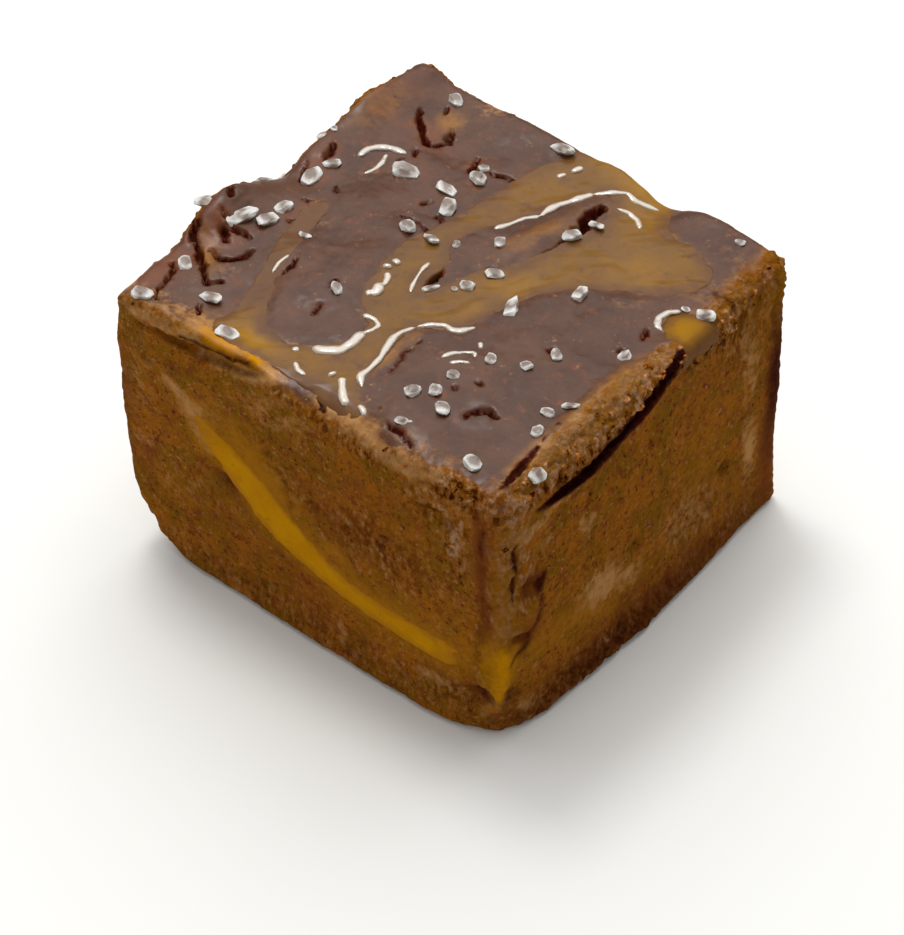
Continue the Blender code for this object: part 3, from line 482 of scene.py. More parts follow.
def waves(points, pitch, offset=0.0):
    """Smooth noise from -1 to 1 at each point; pitch is its waves to the millimetre."""
    shift = Vector((offset, -offset, 2 * offset))
    return np.array([noise.noise(Vector(p) * pitch + shift) for p in points])


def form_heights(form, x, y):
    """The height that one swell or dip adds at each point."""
    (cx, cy), (along, across), heading, height = form
    turn = math.radians(heading)
    dx, dy = x - cx, y - cy
    a = (dx * math.cos(turn) + dy * math.sin(turn)) / along
    b = (dy * math.cos(turn) - dx * math.sin(turn)) / across
    return height * np.exp(-(a * a + b * b))


def top_heights(x, y):
    """The height of the block's top at each point of its plan."""
    plan = np.stack([x, y, np.full_like(x, 3.0)], axis=1)
    heights = HEIGHT + SKIN_WAVE * waves(plan, 0.22)
    for form in TOP_FORMS:
        heights += form_heights(form, x, y)
    return heights


def rounded_shares(shares):
    """Points of the unit cube's skin, as shares of the box, once the box's edges are rounded."""
    shares = shares.copy()
    for first, second, radius in EDGE_RADII:
        reaches = []
        for axis, end in (first, second):
            share = 1 - shares[:, axis] if end else shares[:, axis]
            reaches.append(radius - share * SIZES[axis])
        near = (reaches[0] > 0) & (reaches[1] > 0)
        squeeze = np.maximum(*reaches)[near] / np.hypot(*reaches)[near]
        for (axis, end), reach in zip((first, second), reaches):
            share = (radius - reach[near] * squeeze) / SIZES[axis]
            shares[near, axis] = 1 - share if end else share
    return shares


def block_points(shares, drop):
    """The block's skin as it was cut, from points of the unit cube's skin."""
    u, v, w = rounded_shares(shares).T
    inset = np.zeros((2, len(u)))
    for (right, back, top), corner in CORNER_INSETS.items():
        weight = (u if right else 1 - u) * (v if back else 1 - v) * (w if top else 1 - w)
        inset += weight * np.array(corner)[:, None]
    x = (2 * u - 1) * (LENGTH / 2 - inset[0])
    y = (2 * v - 1) * (WIDTH / 2 - inset[1])
    points = np.stack([x, y, w * (top_heights(x, y) - drop)], axis=1)
    for corner, reach, pull in WORN_CORNERS:
        gone = points - np.array(corner)
        share = np.exp(-(gone**2).sum(axis=1) / reach**2)
        inwards = -np.sign(np.array(corner)) * (1, 1, 0)
        points += share[:, None] * inwards * pull
    return points


def side_swells(points, normals):
    """How far the forms of the cut sides push the skin out."""
    push = np.zeros(len(points))
    for (axis, end), centre, half_widths, heading, height in SIDE_FORMS:
        facing = np.maximum(0.0, normals[:, axis] if end else -normals[:, axis])
        form = (centre, half_widths, heading, height)
        push += facing * form_heights(form, points[:, 1 - axis], points[:, 2])
    return push


def depth_behind(side, points):
    """How far each point lies behind one side of the block, before its cuts were made uneven."""
    axis, end = side
    if side == TOP:
        return top_heights(points[:, 0], points[:, 1]) - points[:, 2]
    return SIZES[axis] / 2 - (points[:, axis] if end else -points[:, axis])


def depth_in(points, *sides):
    """How far each point lies behind the nearest of several sides."""
    return np.minimum.reduce([depth_behind(side, points) for side in sides])


def places_on(side, points):
    """The places of points along and up one side."""
    return points[:, [axis for axis in range(3) if axis != side[0]]]


def nearest_on(points, line):
    """Distance of each point to a line through places, and how far along it that is, 0 to 1."""
    line = [np.array(place, float) for place in line]
    lengths = [np.linalg.norm(b - a) for a, b in zip(line, line[1:])]
    best = np.full(len(points), 1e9)
    along = np.zeros(len(points))
    done = 0.0
    for a, b, length in zip(line, line[1:], lengths):
        t = np.clip((points - a) @ (b - a) / length**2, 0.0, 1.0)
        distance = np.linalg.norm(points - a - t[:, None] * (b - a), axis=1)
        closer = distance < best
        best[closer] = distance[closer]
        along[closer] = (done + t[closer] * length) / sum(lengths)
        done += length
    return best, along


def line_field(points, line, half_width):
    """1 on a line, fading to 0 beside it and towards its ends."""
    field = np.zeros(len(points))
    low = np.min(line, axis=0) - 3 * half_width
    high = np.max(line, axis=0) + 3 * half_width
    near = np.all((points > low) & (points < high), axis=1)
    if near.any():
        distance, along = nearest_on(points[near], line)
        width = half_width * (0.45 + 0.55 * np.sin(np.pi * np.clip(along, 0.04, 0.96)) ** 0.5)
        field[near] = np.exp(-((distance / width) ** 2))
    return field


def patch_field(points, centre, radii):
    """1 at a place, fading to 0 beyond the radii."""
    gone = (points - np.array(centre)) / np.array(radii)
    return np.exp(-(gone**2).sum(axis=1))


def depth_within(outline, points):
    """How far each place of the plan lies inside an outline; negative outside it."""
    closed = np.concatenate([outline, outline[:1]])
    depth = np.full(len(points), -9.0)
    low, high = outline.min(axis=0) - 3, outline.max(axis=0) + 3
    near = np.all((points > low) & (points < high), axis=1)
    distance, _ = nearest_on(points[near], closed)
    inside = within(outline, points[near, 0], points[near, 1])
    depth[near] = np.where(inside, distance, -distance)
    return depth


def curve_through(places, steps=4):
    """A closed smooth outline through the places, by Catmull-Rom arcs."""
    outline = []
    count = len(places)
    for i in range(count):
        before, start, end, after = (np.array(places[(i + k) % count]) for k in (-1, 0, 1, 2))
        bend = 2 * before - 5 * start + 4 * end - after
        twist = 3 * start - before - 3 * end + after
        for t in (step / steps for step in range(steps)):
            outline.append(0.5 * (2 * start + (end - before) * t + bend * t**2 + twist * t**3))
    return np.array(outline)


def widened(outline, distance):
    """The outline moved outwards by a distance."""
    after = np.roll(outline, -1, axis=0)
    area = (outline[:, 0] * after[:, 1] - after[:, 0] * outline[:, 1]).sum()
    along = after - np.roll(outline, 1, axis=0)
    along /= np.linalg.norm(along, axis=1)[:, None]
    outwards = np.stack([along[:, 1], -along[:, 0]], axis=1)
    return outline + distance * np.sign(area) * outwards


def within(outline, x, y):
    """True where a point of the plan lies inside an outline."""
    found = np.zeros(len(x), bool)
    for a, b in zip(outline, np.roll(outline, -1, axis=0)):
        crosses = (a[1] > y) != (b[1] > y)
        if a[1] != b[1]:
            found ^= crosses & (x < a[0] + (y - a[1]) / (b[1] - a[1]) * (b[0] - a[0]))
    return found


def ribbon_section(x, y):
    """The ribbon's middle height and half-thickness at each point of the plan."""
    start = -16.4 + 1.2 * np.sin(0.21 * y)
    end = 27.0 - 17.0 * smooth_step(4.0, 21.0, y)
    rise = RIBBON_SOFTNESS * np.log1p(np.exp((RIBBON_BEND - x) / RIBBON_SOFTNESS))
    middle = RIBBON_LEVEL + RIBBON_RISE * rise + 0.5 * np.sin(0.16 * y + 3.4)
    fade = 1 - 0.45 * smooth_step(-20.0, 8.0, y) * smooth_step(0.0, 22.0, x)
    thick = 1.15 + 1.35 * np.exp(-(((x + 4.5) / 5.5) ** 2))
    left_end = np.sqrt(np.clip((x - start) / 5.0 + 0.02, 0.0, 1.0))
    right_end = np.sqrt(np.clip((end - x) / 4.0 + 0.02, 0.0, 1.0))
    return middle, thick * fade * left_end * right_end, start, end


def pool_depth(points):
    """How far inside the top caramel each place of the plan lies; negative on the chocolate."""
    swirl, sliver, dab = (
        depth_within(curve_through(outline), points[:, :2])
        for outline in (SWIRL_OUTLINE, SLIVER_OUTLINE, DAB_OUTLINE)
    )
    return np.maximum(np.minimum(swirl, -sliver), dab)


def crumbled(points):
    """How crumbled the rims of the top are at each point, 0 to 1."""
    loose = np.zeros(len(points))
    ragged = 0.6 * waves(points, 0.6, 11.0)
    below = depth_behind(TOP, points)
    for side, (start, end), width, depth, strength in RIM_BANDS:
        along = places_on(side, points)[:, 0]
        behind = depth_behind(side, points)
        band = smooth_step(width + 0.5, width - 0.5, behind + ragged)
        band *= smooth_step(depth + 0.8, depth - 0.8, below + 2 * ragged)
        band *= smooth_step(start - 1, start + 1, along) * smooth_step(end + 1, end - 1, along)
        loose = np.maximum(loose, strength * band)
    return loose


def finish_fields(points):
    """The strength of each finish of the chocolate at each point."""
    fields = {name: np.zeros(len(points)) for name in FINISHES}
    fields["crumb"] = crumbled(points)
    facing = {TOP: smooth_step(2.6, 1.2, depth_behind(TOP, points))}
    for side in (LEFT, RIGHT, FRONT, BACK):
        facing[side] = smooth_step(4.0, 2.6, depth_behind(side, points))
    for (name, side), forms in PATCHES.items():
        places = places_on(side, points).T
        for form in forms:
            fields[name] = highest(fields[name], facing[side] * form_heights(form, *places))
    for (name, side), strokes in STROKES.items():
        places = places_on(side, points)
        for line, half_width, strength in strokes:
            field = facing[side] * line_field(places, line, half_width)
            fields[name] = highest(fields[name], strength * field)
    return fields


def groove_line(start, end, bow, count=12):
    """Places along the middle of a bowed groove."""
    line = []
    for t in np.linspace(0, 1, count):
        middle = np.array(start) * (1 - t) + np.array(end) * t
        line.append(middle + (0, 0, bow * math.sin(math.pi * t)))
    return np.array(line)


def groove_axes(start, end, dip):
    """The directions into the block and across the height of a groove."""
    along = (Vector(end) - Vector(start)).normalized()
    level = Vector((-along.y, along.x, 0)).normalized()
    slope = math.radians(dip)
    inward = level * math.cos(slope) - Vector((0, 0, math.sin(slope)))
    return inward, level * math.sin(slope) + Vector((0, 0, math.cos(slope)))


def groove_swell(t):
    """How a groove thins towards both ends."""
    return np.maximum(0.12, np.sin(np.pi * t) ** 0.6)


def within_groove(points, start, end, bow, half_height, depth, dip):
    """1 on the walls of a groove, fading out past its lips."""
    line = groove_line(start, end, bow)
    _, t = nearest_on(points, line)
    stations = np.linspace(0, 1, len(line))
    middle = np.stack([np.interp(t, stations, column) for column in line.T], axis=1)
    inward, upward = groove_axes(start, end, dip)
    swell = groove_swell(t)
    inwards = (points - middle) @ np.array(inward) / (depth * swell)
    upwards = (points - middle) @ np.array(upward) / (half_height * swell)
    return smooth_step(1.5, 1.1, np.hypot(inwards, upwards))


def ribbon_shows(points):
    """How bare the ribbon is at each point: at the front up to the corner, not at the right."""
    along = points[:, 0] + 1.6 * waves(points, 0.9)
    front = smooth_step(3.0, 2.0, depth_behind(FRONT, points)) * smooth_step(17.2, 21.0, along)
    right = smooth_step(3.0, 1.5, depth_behind(RIGHT, points))
    right *= smooth_step(-23.0, -22.0, points[:, 1])
    return (1 - right) * (1 - front)


# Modelling helpers.


def deselect():
    """Nothing is selected and nothing is active."""
    bpy.ops.object.select_all(action="DESELECT")
    bpy.context.view_layer.objects.active = None


def take(obj):
    """Makes obj the one selected, active object."""
    deselect()
    obj.select_set(True)
    bpy.context.view_layer.objects.active = obj
    return obj


def edit(obj, *steps):
    """Runs edit-mode steps on the whole of obj."""
    take(obj)
    bpy.ops.object.mode_set(mode="EDIT")
    bpy.ops.mesh.select_all(action="SELECT")
    for step in steps:
        step()
    bpy.ops.object.mode_set(mode="OBJECT")
    return obj


def apply_modifier(obj, kind, **settings):
    """Adds a modifier with its settings and applies it."""
    take(obj)
    modifier = obj.modifiers.new(kind.lower(), kind)
    for name, value in settings.items():
        setattr(modifier, name, value)
    bpy.ops.object.modifier_apply(modifier=modifier.name)
    return obj


def numbers_of(items, name):
    """The three numbers that each item of a mesh keeps."""
    flat = np.empty(3 * len(items))
    items.foreach_get(name, flat)
    return flat.reshape(-1, 3)


def places_of(obj):
    """The mesh's points, in millimetres in the cutting frame."""
    return numbers_of(obj.data.vertices, "co") / MM - CENTRING


def normals_of(obj):
    """The mesh's point normals."""
    return numbers_of(obj.data.vertex_normals, "vector")


def put_places(obj, points):
    """Moves the mesh's points to places in the cutting frame."""
    obj.data.vertices.foreach_set("co", ((points + CENTRING) * MM).ravel())
    obj.data.update()


def rolled_tube(name, rings):
    """A closed solid through a row of rings: a grid rolled up, joined and stopped at both ends."""
    rings = np.array(rings)
    stations, sides = rings.shape[:2]
    deselect()
    bpy.ops.mesh.primitive_grid_add(x_subdivisions=sides, y_subdivisions=stations - 1, size=1)
    obj = bpy.context.active_object
    obj.name = name
    closed = np.concatenate([rings, rings[:, :1]], axis=1)
    put_places(obj, closed.reshape(-1, 3))
    return edit(
        obj,
        lambda: bpy.ops.mesh.remove_doubles(threshold=1e-7),
        lambda: bpy.ops.mesh.fill_holes(sides=0),
        lambda: bpy.ops.mesh.quads_convert_to_tris(),
        lambda: bpy.ops.mesh.normals_make_consistent(inside=False),
    )


def prism(name, outline, low, high):
    """An upright solid over an outline."""
    rings = [np.column_stack([outline, np.full(len(outline), z)]) for z in (low, high)]
    return rolled_tube(name, rings)


def boolean(obj, other, operation):
    """Cuts, joins or intersects obj with another, which is then removed."""
    apply_modifier(obj, "BOOLEAN", operation=operation, solver="MANIFOLD", object=other)
    bpy.data.objects.remove(other)
    return obj


def remeshed(obj, voxel, smoothing):
    """An even skin over obj, with its corners softened."""
    apply_modifier(obj, "REMESH", mode="VOXEL", voxel_size=voxel)
    return apply_modifier(obj, "SMOOTH", factor=0.5, iterations=smoothing)


def cut_block(name, drop=0.0, grow=0.0, cuts=BLOCK_CUTS):
    """The block as it was cut, from a finely divided cube."""
    deselect()
    bpy.ops.mesh.primitive_cube_add(size=1, location=(0.5, 0.5, 0.5))
    bpy.ops.object.transform_apply(location=True, rotation=True, scale=True)
    obj = bpy.context.active_object
    obj.name = name
    edit(obj, lambda: bpy.ops.mesh.subdivide(number_cuts=cuts))
    put_places(obj, block_points(numbers_of(obj.data.vertices, "co"), drop))
    points, normals = places_of(obj), normals_of(obj)
    depth = SKIN_WAVE * waves(points, DRAG) + side_swells(points, normals) + grow
    moves = normals * depth[:, None]
    moves[:, 2] *= smooth_step(0.0, 2.0, points[:, 2])
    put_places(obj, points + moves)
    return obj


def pool(name, outline, spread, island=None):
    """The space of a pool of top caramel, with an island left standing in it."""
    floor = HEIGHT - POOL_DEPTH
    made = prism(name, widened(outline, spread), floor, HEIGHT + 6)
    if island is not None:
        standing = prism("island", widened(island, -spread), floor - 2, HEIGHT + 8)
        boolean(made, standing, "DIFFERENCE")
    return made


def groove(name, start, end, bow, half_height, depth, dip, stations=24, sides=12):
    """A groove's cutter along a bowed line. It thins to both ends, and dips into the block."""
    inward, upward = groove_axes(start, end, dip)
    rings = []
    for station, middle in enumerate(groove_line(start, end, bow, stations + 1)):
        t = station / stations
        swell = float(groove_swell(t))
        ragged = 1 + 0.3 * noise.noise(Vector((9 * t, bow, dip)))
        ring = []
        for side in range(sides):
            turn = 2 * math.pi * side / sides
            across = inward * (depth * swell * math.cos(turn))
            across += upward * (half_height * ragged * swell * math.sin(turn))
            ring.append(Vector(middle) + across)
        rings.append(ring)
    return rolled_tube(name, rings)


def ribbon_sheet(name, extra, stations=49, columns=32):
    """The caramel sheet, run out past the block on the sides where it shows."""
    rings = []
    for y in np.linspace(-WIDTH / 2 - 2, WIDTH / 2 + 2, stations):
        _, _, start, end = ribbon_section(np.zeros(1), np.full(1, y))
        x = np.linspace(start[0], end[0], columns + 1)
        middle, half, _, _ = ribbon_section(x, np.full_like(x, y))
        half = half + extra
        x = x + extra * np.linspace(-1, 1, columns + 1)
        level = np.full_like(x, y)
        upper = np.column_stack([x, level, middle + half])
        lower = np.column_stack([x, level, middle - half])
        rings.append(np.concatenate([upper, lower[::-1]]))
    return rolled_tube(name, rings)


def store(obj, name, values):
    """Keeps one number for each point, for the materials to read."""
    attribute = obj.data.attributes.new(name, "FLOAT", "POINT")
    attribute.data.foreach_set("value", np.clip(values, 0.0, 1.0).astype(np.float32))


def finish(obj, name, material, slot, *nodes):
    """Names, shades and dresses a piece, and lets it ride."""
    take(obj)
    bpy.ops.object.shade_smooth()
    obj.name = name
    obj.data.name = name
    obj.data.materials.clear()
    obj.data.materials.append(material)
    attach(obj, "root")
    if nodes:
        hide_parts(*nodes)
    return obj


def ground_of(*names):
    """A tree over finished pieces, in the cutting frame, for finding the ground under a place."""
    points, faces = [], []
    for name in names:
        obj = bpy.data.objects[name]
        start = len(points)
        points += [Vector(p) for p in places_of(obj)]
        faces += [tuple(start + v for v in face.vertices) for face in obj.data.polygons]
    return BVHTree.FromPolygons(points, faces)


def drop_onto(ground, x, y):
    """The ground's place and normal under a place of the plan, or at the rim beside it."""
    place, normal, _, _ = ground.ray_cast(Vector((x, y, DROP_FROM)), Vector((0, 0, -1)))
    if place is None or place.z < HEIGHT - RIM_FALL:
        place, normal, _, _ = ground.find_nearest(Vector((x, y, HEIGHT)))
    return place, normal


# Materials.


def give(tree, socket, value):
    """Links a node's output to a socket, or sets the socket to a plain value."""
    if isinstance(value, bpy.types.NodeSocket):
        tree.links.new(value, socket)
    elif socket.type == "RGBA":
        socket.default_value = (*value, 1.0)[:4]
    else:
        socket.default_value = value


def add_node(tree, kind, *values, **inputs):
    """A node with its inputs given in order or by name. Upper-case names set its own values."""
    made = tree.nodes.new(kind)
    for name in [name for name in inputs if name.isupper()]:
        setattr(made, name.lower(), inputs.pop(name))
    for socket, value in zip(made.inputs, values):
        give(tree, socket, value)
    for name, value in inputs.items():
        give(tree, made.inputs[name], value)
    return made


def math_node(tree, operation, *values, clamp=False):
    """The value of a sum, product or difference."""
    made = add_node(tree, "ShaderNodeMath", *values, OPERATION=operation, USE_CLAMP=clamp)
    return made.outputs[0]


def mixed(tree, factor, first, second):
    """The first colour, turned to the second by the factor."""
    made = add_node(tree, "ShaderNodeMix", factor, DATA_TYPE="RGBA")
    give(tree, made.inputs[6], first)
    give(tree, made.inputs[7], second)
    return made.outputs[2]


def object_place(tree):
    """The place of each point in the object's own frame."""
    return add_node(tree, "ShaderNodeTexCoord").outputs["Object"]


def noise_at(tree, place, pitch, detail, roughness):
    """Fractal noise; pitch is its waves to the metre."""
    made = add_node(tree, "ShaderNodeTexNoise", Vector=place, Scale=pitch, Detail=detail,
                    Roughness=roughness)
    return made.outputs["Fac"]


def cells_at(tree, place, pitch):
    """Distance from the middle of the nearest of many cells."""
    return add_node(tree, "ShaderNodeTexVoronoi", Vector=place, Scale=pitch).outputs["Distance"]


def ranged(tree, value, low, high):
    """0 at low, 1 at high."""
    span = {"From Min": low, "From Max": high}
    return add_node(tree, "ShaderNodeMapRange", Value=value, **span).outputs[0]


def new_group(name, defaults, build):
    """A node group with named inputs and outputs."""
    tree = bpy.data.node_groups.new(name, "ShaderNodeTree")

    def new_socket(label, side, is_colour):
        kind = "NodeSocketColor" if is_colour else "NodeSocketFloat"
        return tree.interface.new_socket(name=label, in_out=side, socket_type=kind)

    for label, default in defaults.items():
        is_colour = isinstance(default, tuple)
        socket = new_socket(label, "INPUT", is_colour)
        socket.default_value = (*default, 1.0) if is_colour else default
    made = build(tree, tree.nodes.new("NodeGroupInput").outputs)
    for label, socket in made.items():
        new_socket(label, "OUTPUT", socket.type == "RGBA")
    target = tree.nodes.new("NodeGroupOutput")
    for label, socket in made.items():
        tree.links.new(socket, target.inputs[label])
    return tree


def node_group(**defaults):
    """Makes a function that builds nodes into one that places them, as a group built once."""

    def wrap(build):
        name = build.__name__.replace("_", " ")

        def place(tree, **inputs):
            group = bpy.data.node_groups.get(name) or new_group(name, defaults, build)
            return add_node(tree, "ShaderNodeGroup", NODE_TREE=group, **inputs).outputs

        return place

    return wrap


@node_group(Mask=0.0, Pitch=800.0, Raggedness=1.0)
def broken_mask(tree, given):
    """Breaks a soft mask up into patches with ragged borders."""
    texture = noise_at(tree, object_place(tree), given["Pitch"], 4.0, 0.65)
    ragged = math_node(tree, "SUBTRACT", texture, 0.5)
    ragged = math_node(tree, "MULTIPLY", ragged, given["Raggedness"])
    raised = math_node(tree, "ADD", given["Mask"], ragged)
    keep = math_node(tree, "MULTIPLY", given["Mask"], 6.0, clamp=True)
    return {"Mask": math_node(tree, "MULTIPLY", raised, keep, clamp=True)}


@node_group(First=(0.1, 0.05, 0.02), Second=(0.2, 0.1, 0.02), Pitch=300.0)
def mottling(tree, given):
    """Two tints mixed in soft blotches, with a finer speckle over them."""
    place = object_place(tree)
    finer = math_node(tree, "MULTIPLY", given["Pitch"], 7.0)
    blotch = ranged(tree, noise_at(tree, place, given["Pitch"], 3.0, 0.6), 0.4, 0.6)
    speckle = ranged(tree, noise_at(tree, place, finer, 3.0, 0.7), 0.3, 0.7)
    share = math_node(tree, "ADD", math_node(tree, "MULTIPLY", blotch, 0.6),
                      math_node(tree, "MULTIPLY", speckle, 0.4))
    return {"Color": mixed(tree, share, given["First"], given["Second"])}


@node_group(Color=(0.1, 0.05, 0.02), Fleck=(0.2, 0.1, 0.02), Pitch=900.0, Share=0.35)
def flecks(tree, given):
    """Small ragged flecks of another tint over a colour."""
    texture = noise_at(tree, object_place(tree), given["Pitch"], 4.0, 0.8)
    raised = math_node(tree, "ADD", texture, given["Share"])
    mask = math_node(tree, "MULTIPLY", math_node(tree, "SUBTRACT", raised, 1.0), 8.0, clamp=True)
    return {"Color": mixed(tree, mask, given["Color"], given["Fleck"])}


@node_group(Pitch=2500.0, Pores=0.3)
def grain(tree, given):
    """The height of a fine, crumbly grain."""
    place = object_place(tree)
    fine = noise_at(tree, place, given["Pitch"], 5.0, 0.7)
    pores = cells_at(tree, place, math_node(tree, "MULTIPLY", given["Pitch"], 0.6))
    sunk = math_node(tree, "MULTIPLY", ranged(tree, pores, 0.0, 0.45), given["Pores"])
    return {"Height": math_node(tree, "ADD", fine, sunk)}


@node_group(Deep=(0.05, 0.01, 0.005), Middle=(0.2, 0.07, 0.01), Light=(0.35, 0.15, 0.04),
            Pale=(0.5, 0.3, 0.2), Pitch=900.0, Lift=0.0)
def crumbs(tree, given):
    """Crumbs of several tints with painted shade in the gaps between them, and their height."""
    place = add_node(tree, "ShaderNodeVectorMath", object_place(tree), (1.0, 1.0, 0.6),
                     OPERATION="MULTIPLY").outputs[0]
    rough = noise_at(tree, place, given["Pitch"], 5.0, 0.75)
    cells = cells_at(tree, place, math_node(tree, "MULTIPLY", given["Pitch"], 1.6))
    height = math_node(tree, "SUBTRACT", rough, math_node(tree, "MULTIPLY", cells, 0.22))
    tone = ranged(tree, height, 0.28, 0.54)
    lifted = math_node(tree, "ADD", tone, given["Lift"])
    shade = given["Deep"]
    for name, slope, start in (("Middle", 4.0, 0.5), ("Light", 3.5, 1.5), ("Pale", 5.0, 3.8)):
        step = math_node(tree, "MULTIPLY", lifted, slope)
        step = math_node(tree, "SUBTRACT", step, start, clamp=True)
        shade = mixed(tree, step, shade, given[name])
    return {"Color": shade, "Height": tone}


def stored(tree, name):
    """The number that a piece keeps for each point."""
    return add_node(tree, "ShaderNodeAttribute", ATTRIBUTE_NAME=name).outputs["Fac"]


def stored_mask(tree, name, pitch, raggedness):
    """The number that a piece keeps for each point, broken up into ragged patches."""
    return broken_mask(tree, Mask=stored(tree, name), Pitch=pitch, Raggedness=raggedness)[0]


def flecked(tree, shade, *kinds):
    """A colour with flecks over it: the tint, pitch and share of each kind."""
    for tint, pitch, share in kinds:
        shade = flecks(tree, Color=shade, Fleck=tint, Pitch=pitch, Share=share)[0]
    return shade


def crumb_tints(tree, look, lift):
    """The crumbs of the worn edges."""
    return crumbs(tree, Deep=look.shade_and_speck_colour, Middle=look.cut_colour_2, Light=look.crumb_colour,
                  Pale=look.pale_colour, Pitch=CRUMB_PITCH, Lift=lift)


def blank_material(name, roughness, specular, **more):
    """A material's tree and shader, with what is even all over set on the shader itself."""
    material = bpy.data.materials.new(name)
    material.use_nodes = True
    shader = material.node_tree.nodes["Principled BSDF"]
    shader.inputs["Roughness"].default_value = roughness
    shader.inputs["Specular IOR Level"].default_value = specular
    for label, value in more.items():
        shader.inputs[label.replace("_", " ")].default_value = value
    return material, material.node_tree, shader


def dress(tree, shader, shade, height=None, depth=0.0, strength=0.0):
    """Gives the shader its colour and its relief; depth is in metres."""
    tree.links.new(shade, shader.inputs["Base Color"])
    if height is not None:
        bump = add_node(tree, "ShaderNodeBump", Distance=depth, Strength=strength, Height=height)
        tree.links.new(bump.outputs[0], shader.inputs["Normal"])


def fudge_material(look):
    """Chocolate fudge: a matt cut face, a satin top skin, pale, worn and smeared places, painted
    shade in its pits, creases and grooves, and a painted highlight on its gold smears.
    """
    material, tree, shader = blank_material("chocolate fudge", 0.8, 0.01, Coat_Roughness=0.32)
    cut = mottling(tree, First=look.cut_colour, Second=look.cut_colour_2, Pitch=330.0)[0]
    cut = flecked(tree, cut, (look.red_colour, 800.0, 0.49), (look.crumb_colour, 1500.0, 0.44),
                  (look.shade_and_speck_colour, 1700.0, 0.455), (look.rosy_colour, 420.0, 0.35))
    skin = mottling(tree, First=look.skin_colour, Second=look.skin_colour_2, Pitch=240.0)[0]
    skin = flecked(tree, skin, (look.red_colour, 500.0, 0.42), (look.crumb_colour, 800.0, 0.37),
                   (look.shade_and_speck_colour, 1200.0, 0.38))
    top = stored(tree, "skin")
    lift = math_node(tree, "MULTIPLY", stored(tree, "pale"), 0.44)
    loose = crumb_tints(tree, look, math_node(tree, "SUBTRACT", lift, 0.03))
    shade = mixed(tree, top, cut, skin)
    masks = {}
    # The dark mask lays painted shade; the gold mask lays caramel smears lightened by a painted
    # highlight.
    for name, pitch, raggedness, tint in (
        ("crumb", 900.0, 1.3, loose["Color"]),
        ("red", 500.0, 1.2, look.red_colour),
        ("amber", 600.0, 1.3, look.amber_colour),
        ("rosy", 900.0, 3.2, look.rosy_colour),
        ("dark", 1300.0, 0.9, look.shade_and_speck_colour),
        ("gold", 700.0, 1.5, look.gold_glint_colour),
    ):
        masks[name] = stored_mask(tree, name, pitch, raggedness)
        shade = mixed(tree, masks[name], shade, tint)
    gloss = math_node(tree, "SUBTRACT", top, masks["dark"], clamp=True)
    gloss = math_node(tree, "SUBTRACT", gloss, masks["crumb"], clamp=True)
    tree.links.new(math_node(tree, "MULTIPLY", gloss, 0.5), shader.inputs["Coat Weight"])
    fine = math_node(tree, "MULTIPLY", grain(tree, Pitch=2200.0, Pores=0.5)[0],
                     math_node(tree, "SUBTRACT", 1.3, top))
    lumps = math_node(tree, "MULTIPLY", loose["Height"], masks["crumb"])
    height = math_node(tree, "ADD", fine, math_node(tree, "MULTIPLY", lumps, 1.8))
    dress(tree, shader, shade, height, 0.00022, 0.9)
    return material


def caramel_material(name, look, tints, rubbed, gloss, satin):
    """Caramel: a golden body under a glossy coat, darker where chocolate is rubbed into it."""
    material, tree, shader = blank_material(name, 0.6, 0.01, Coat_Weight=gloss,
                                            Coat_Roughness=satin)
    body = mottling(tree, First=tints[0], Second=tints[1], Pitch=260.0)[0]
    body = flecked(tree, body, (rubbed, 700.0, 0.44))
    body = mixed(tree, stored_mask(tree, "gold", 400.0, 0.8), body, look.gold_colour)
    body = mixed(tree, stored_mask(tree, "cocoa", 420.0, 2.0), body, rubbed)
    dress(tree, shader, body, grain(tree, Pitch=1200.0, Pores=0.1)[0], 0.00006, 0.5)
    return material


def salt_material(look):
    """Coarse salt: a painted glow of refracted light at its rims, and a clearer middle where the
    chocolate seen through it is painted in.
    """
    material, tree, shader = blank_material("coarse salt", 0.3, 0.5, Transmission_Weight=0.25,
                                            IOR=1.45)
    cloud = stored_mask(tree, "rim", 900.0, 1.2)
    body = mixed(tree, cloud, look.salt_refraction_colour_2, look.salt_refraction_colour)
    dress(tree, shader, body, grain(tree, Pitch=1500.0, Pores=0.4)[0], 0.00008, 0.5)
    return material


def syrup_material(look):
    """Thin caramel syrup, wet and very glossy, its colour lightened into a painted highlight and
    tinted by what it lies on.
    """
    material, tree, shader = blank_material("wet syrup", 0.3, 0.5, Coat_Weight=1.0,
                                            Coat_Roughness=0.16, Coat_IOR=2.0)
    over = stored(tree, "over")
    dress(tree, shader, mixed(tree, over, look.syrup_glint_colour, look.syrup_glint_colour_2))
    return material


def crumb_material(look):
    """Loose crumbs of the cut chocolate, some pale and some rich."""
    material, tree, shader = blank_material("fudge crumbs", 0.8, 0.01)
    shade = crumb_tints(tree, look, 0.06)["Color"]
    dress(tree, shader, shade, grain(tree, Pitch=2600.0, Pores=0.3)[0], 0.0001, 0.7)
    return material


# Settings.


def colour_setting(name, description, default):
    return bpy.props.FloatVectorProperty(
        name=name, description=description, default=default, subtype="COLOR", min=0.0, max=1.0
    )


def length_setting(name, description, default):
    return bpy.props.FloatProperty(
        name=name, description=description, default=default, unit="LENGTH", precision=5
    )


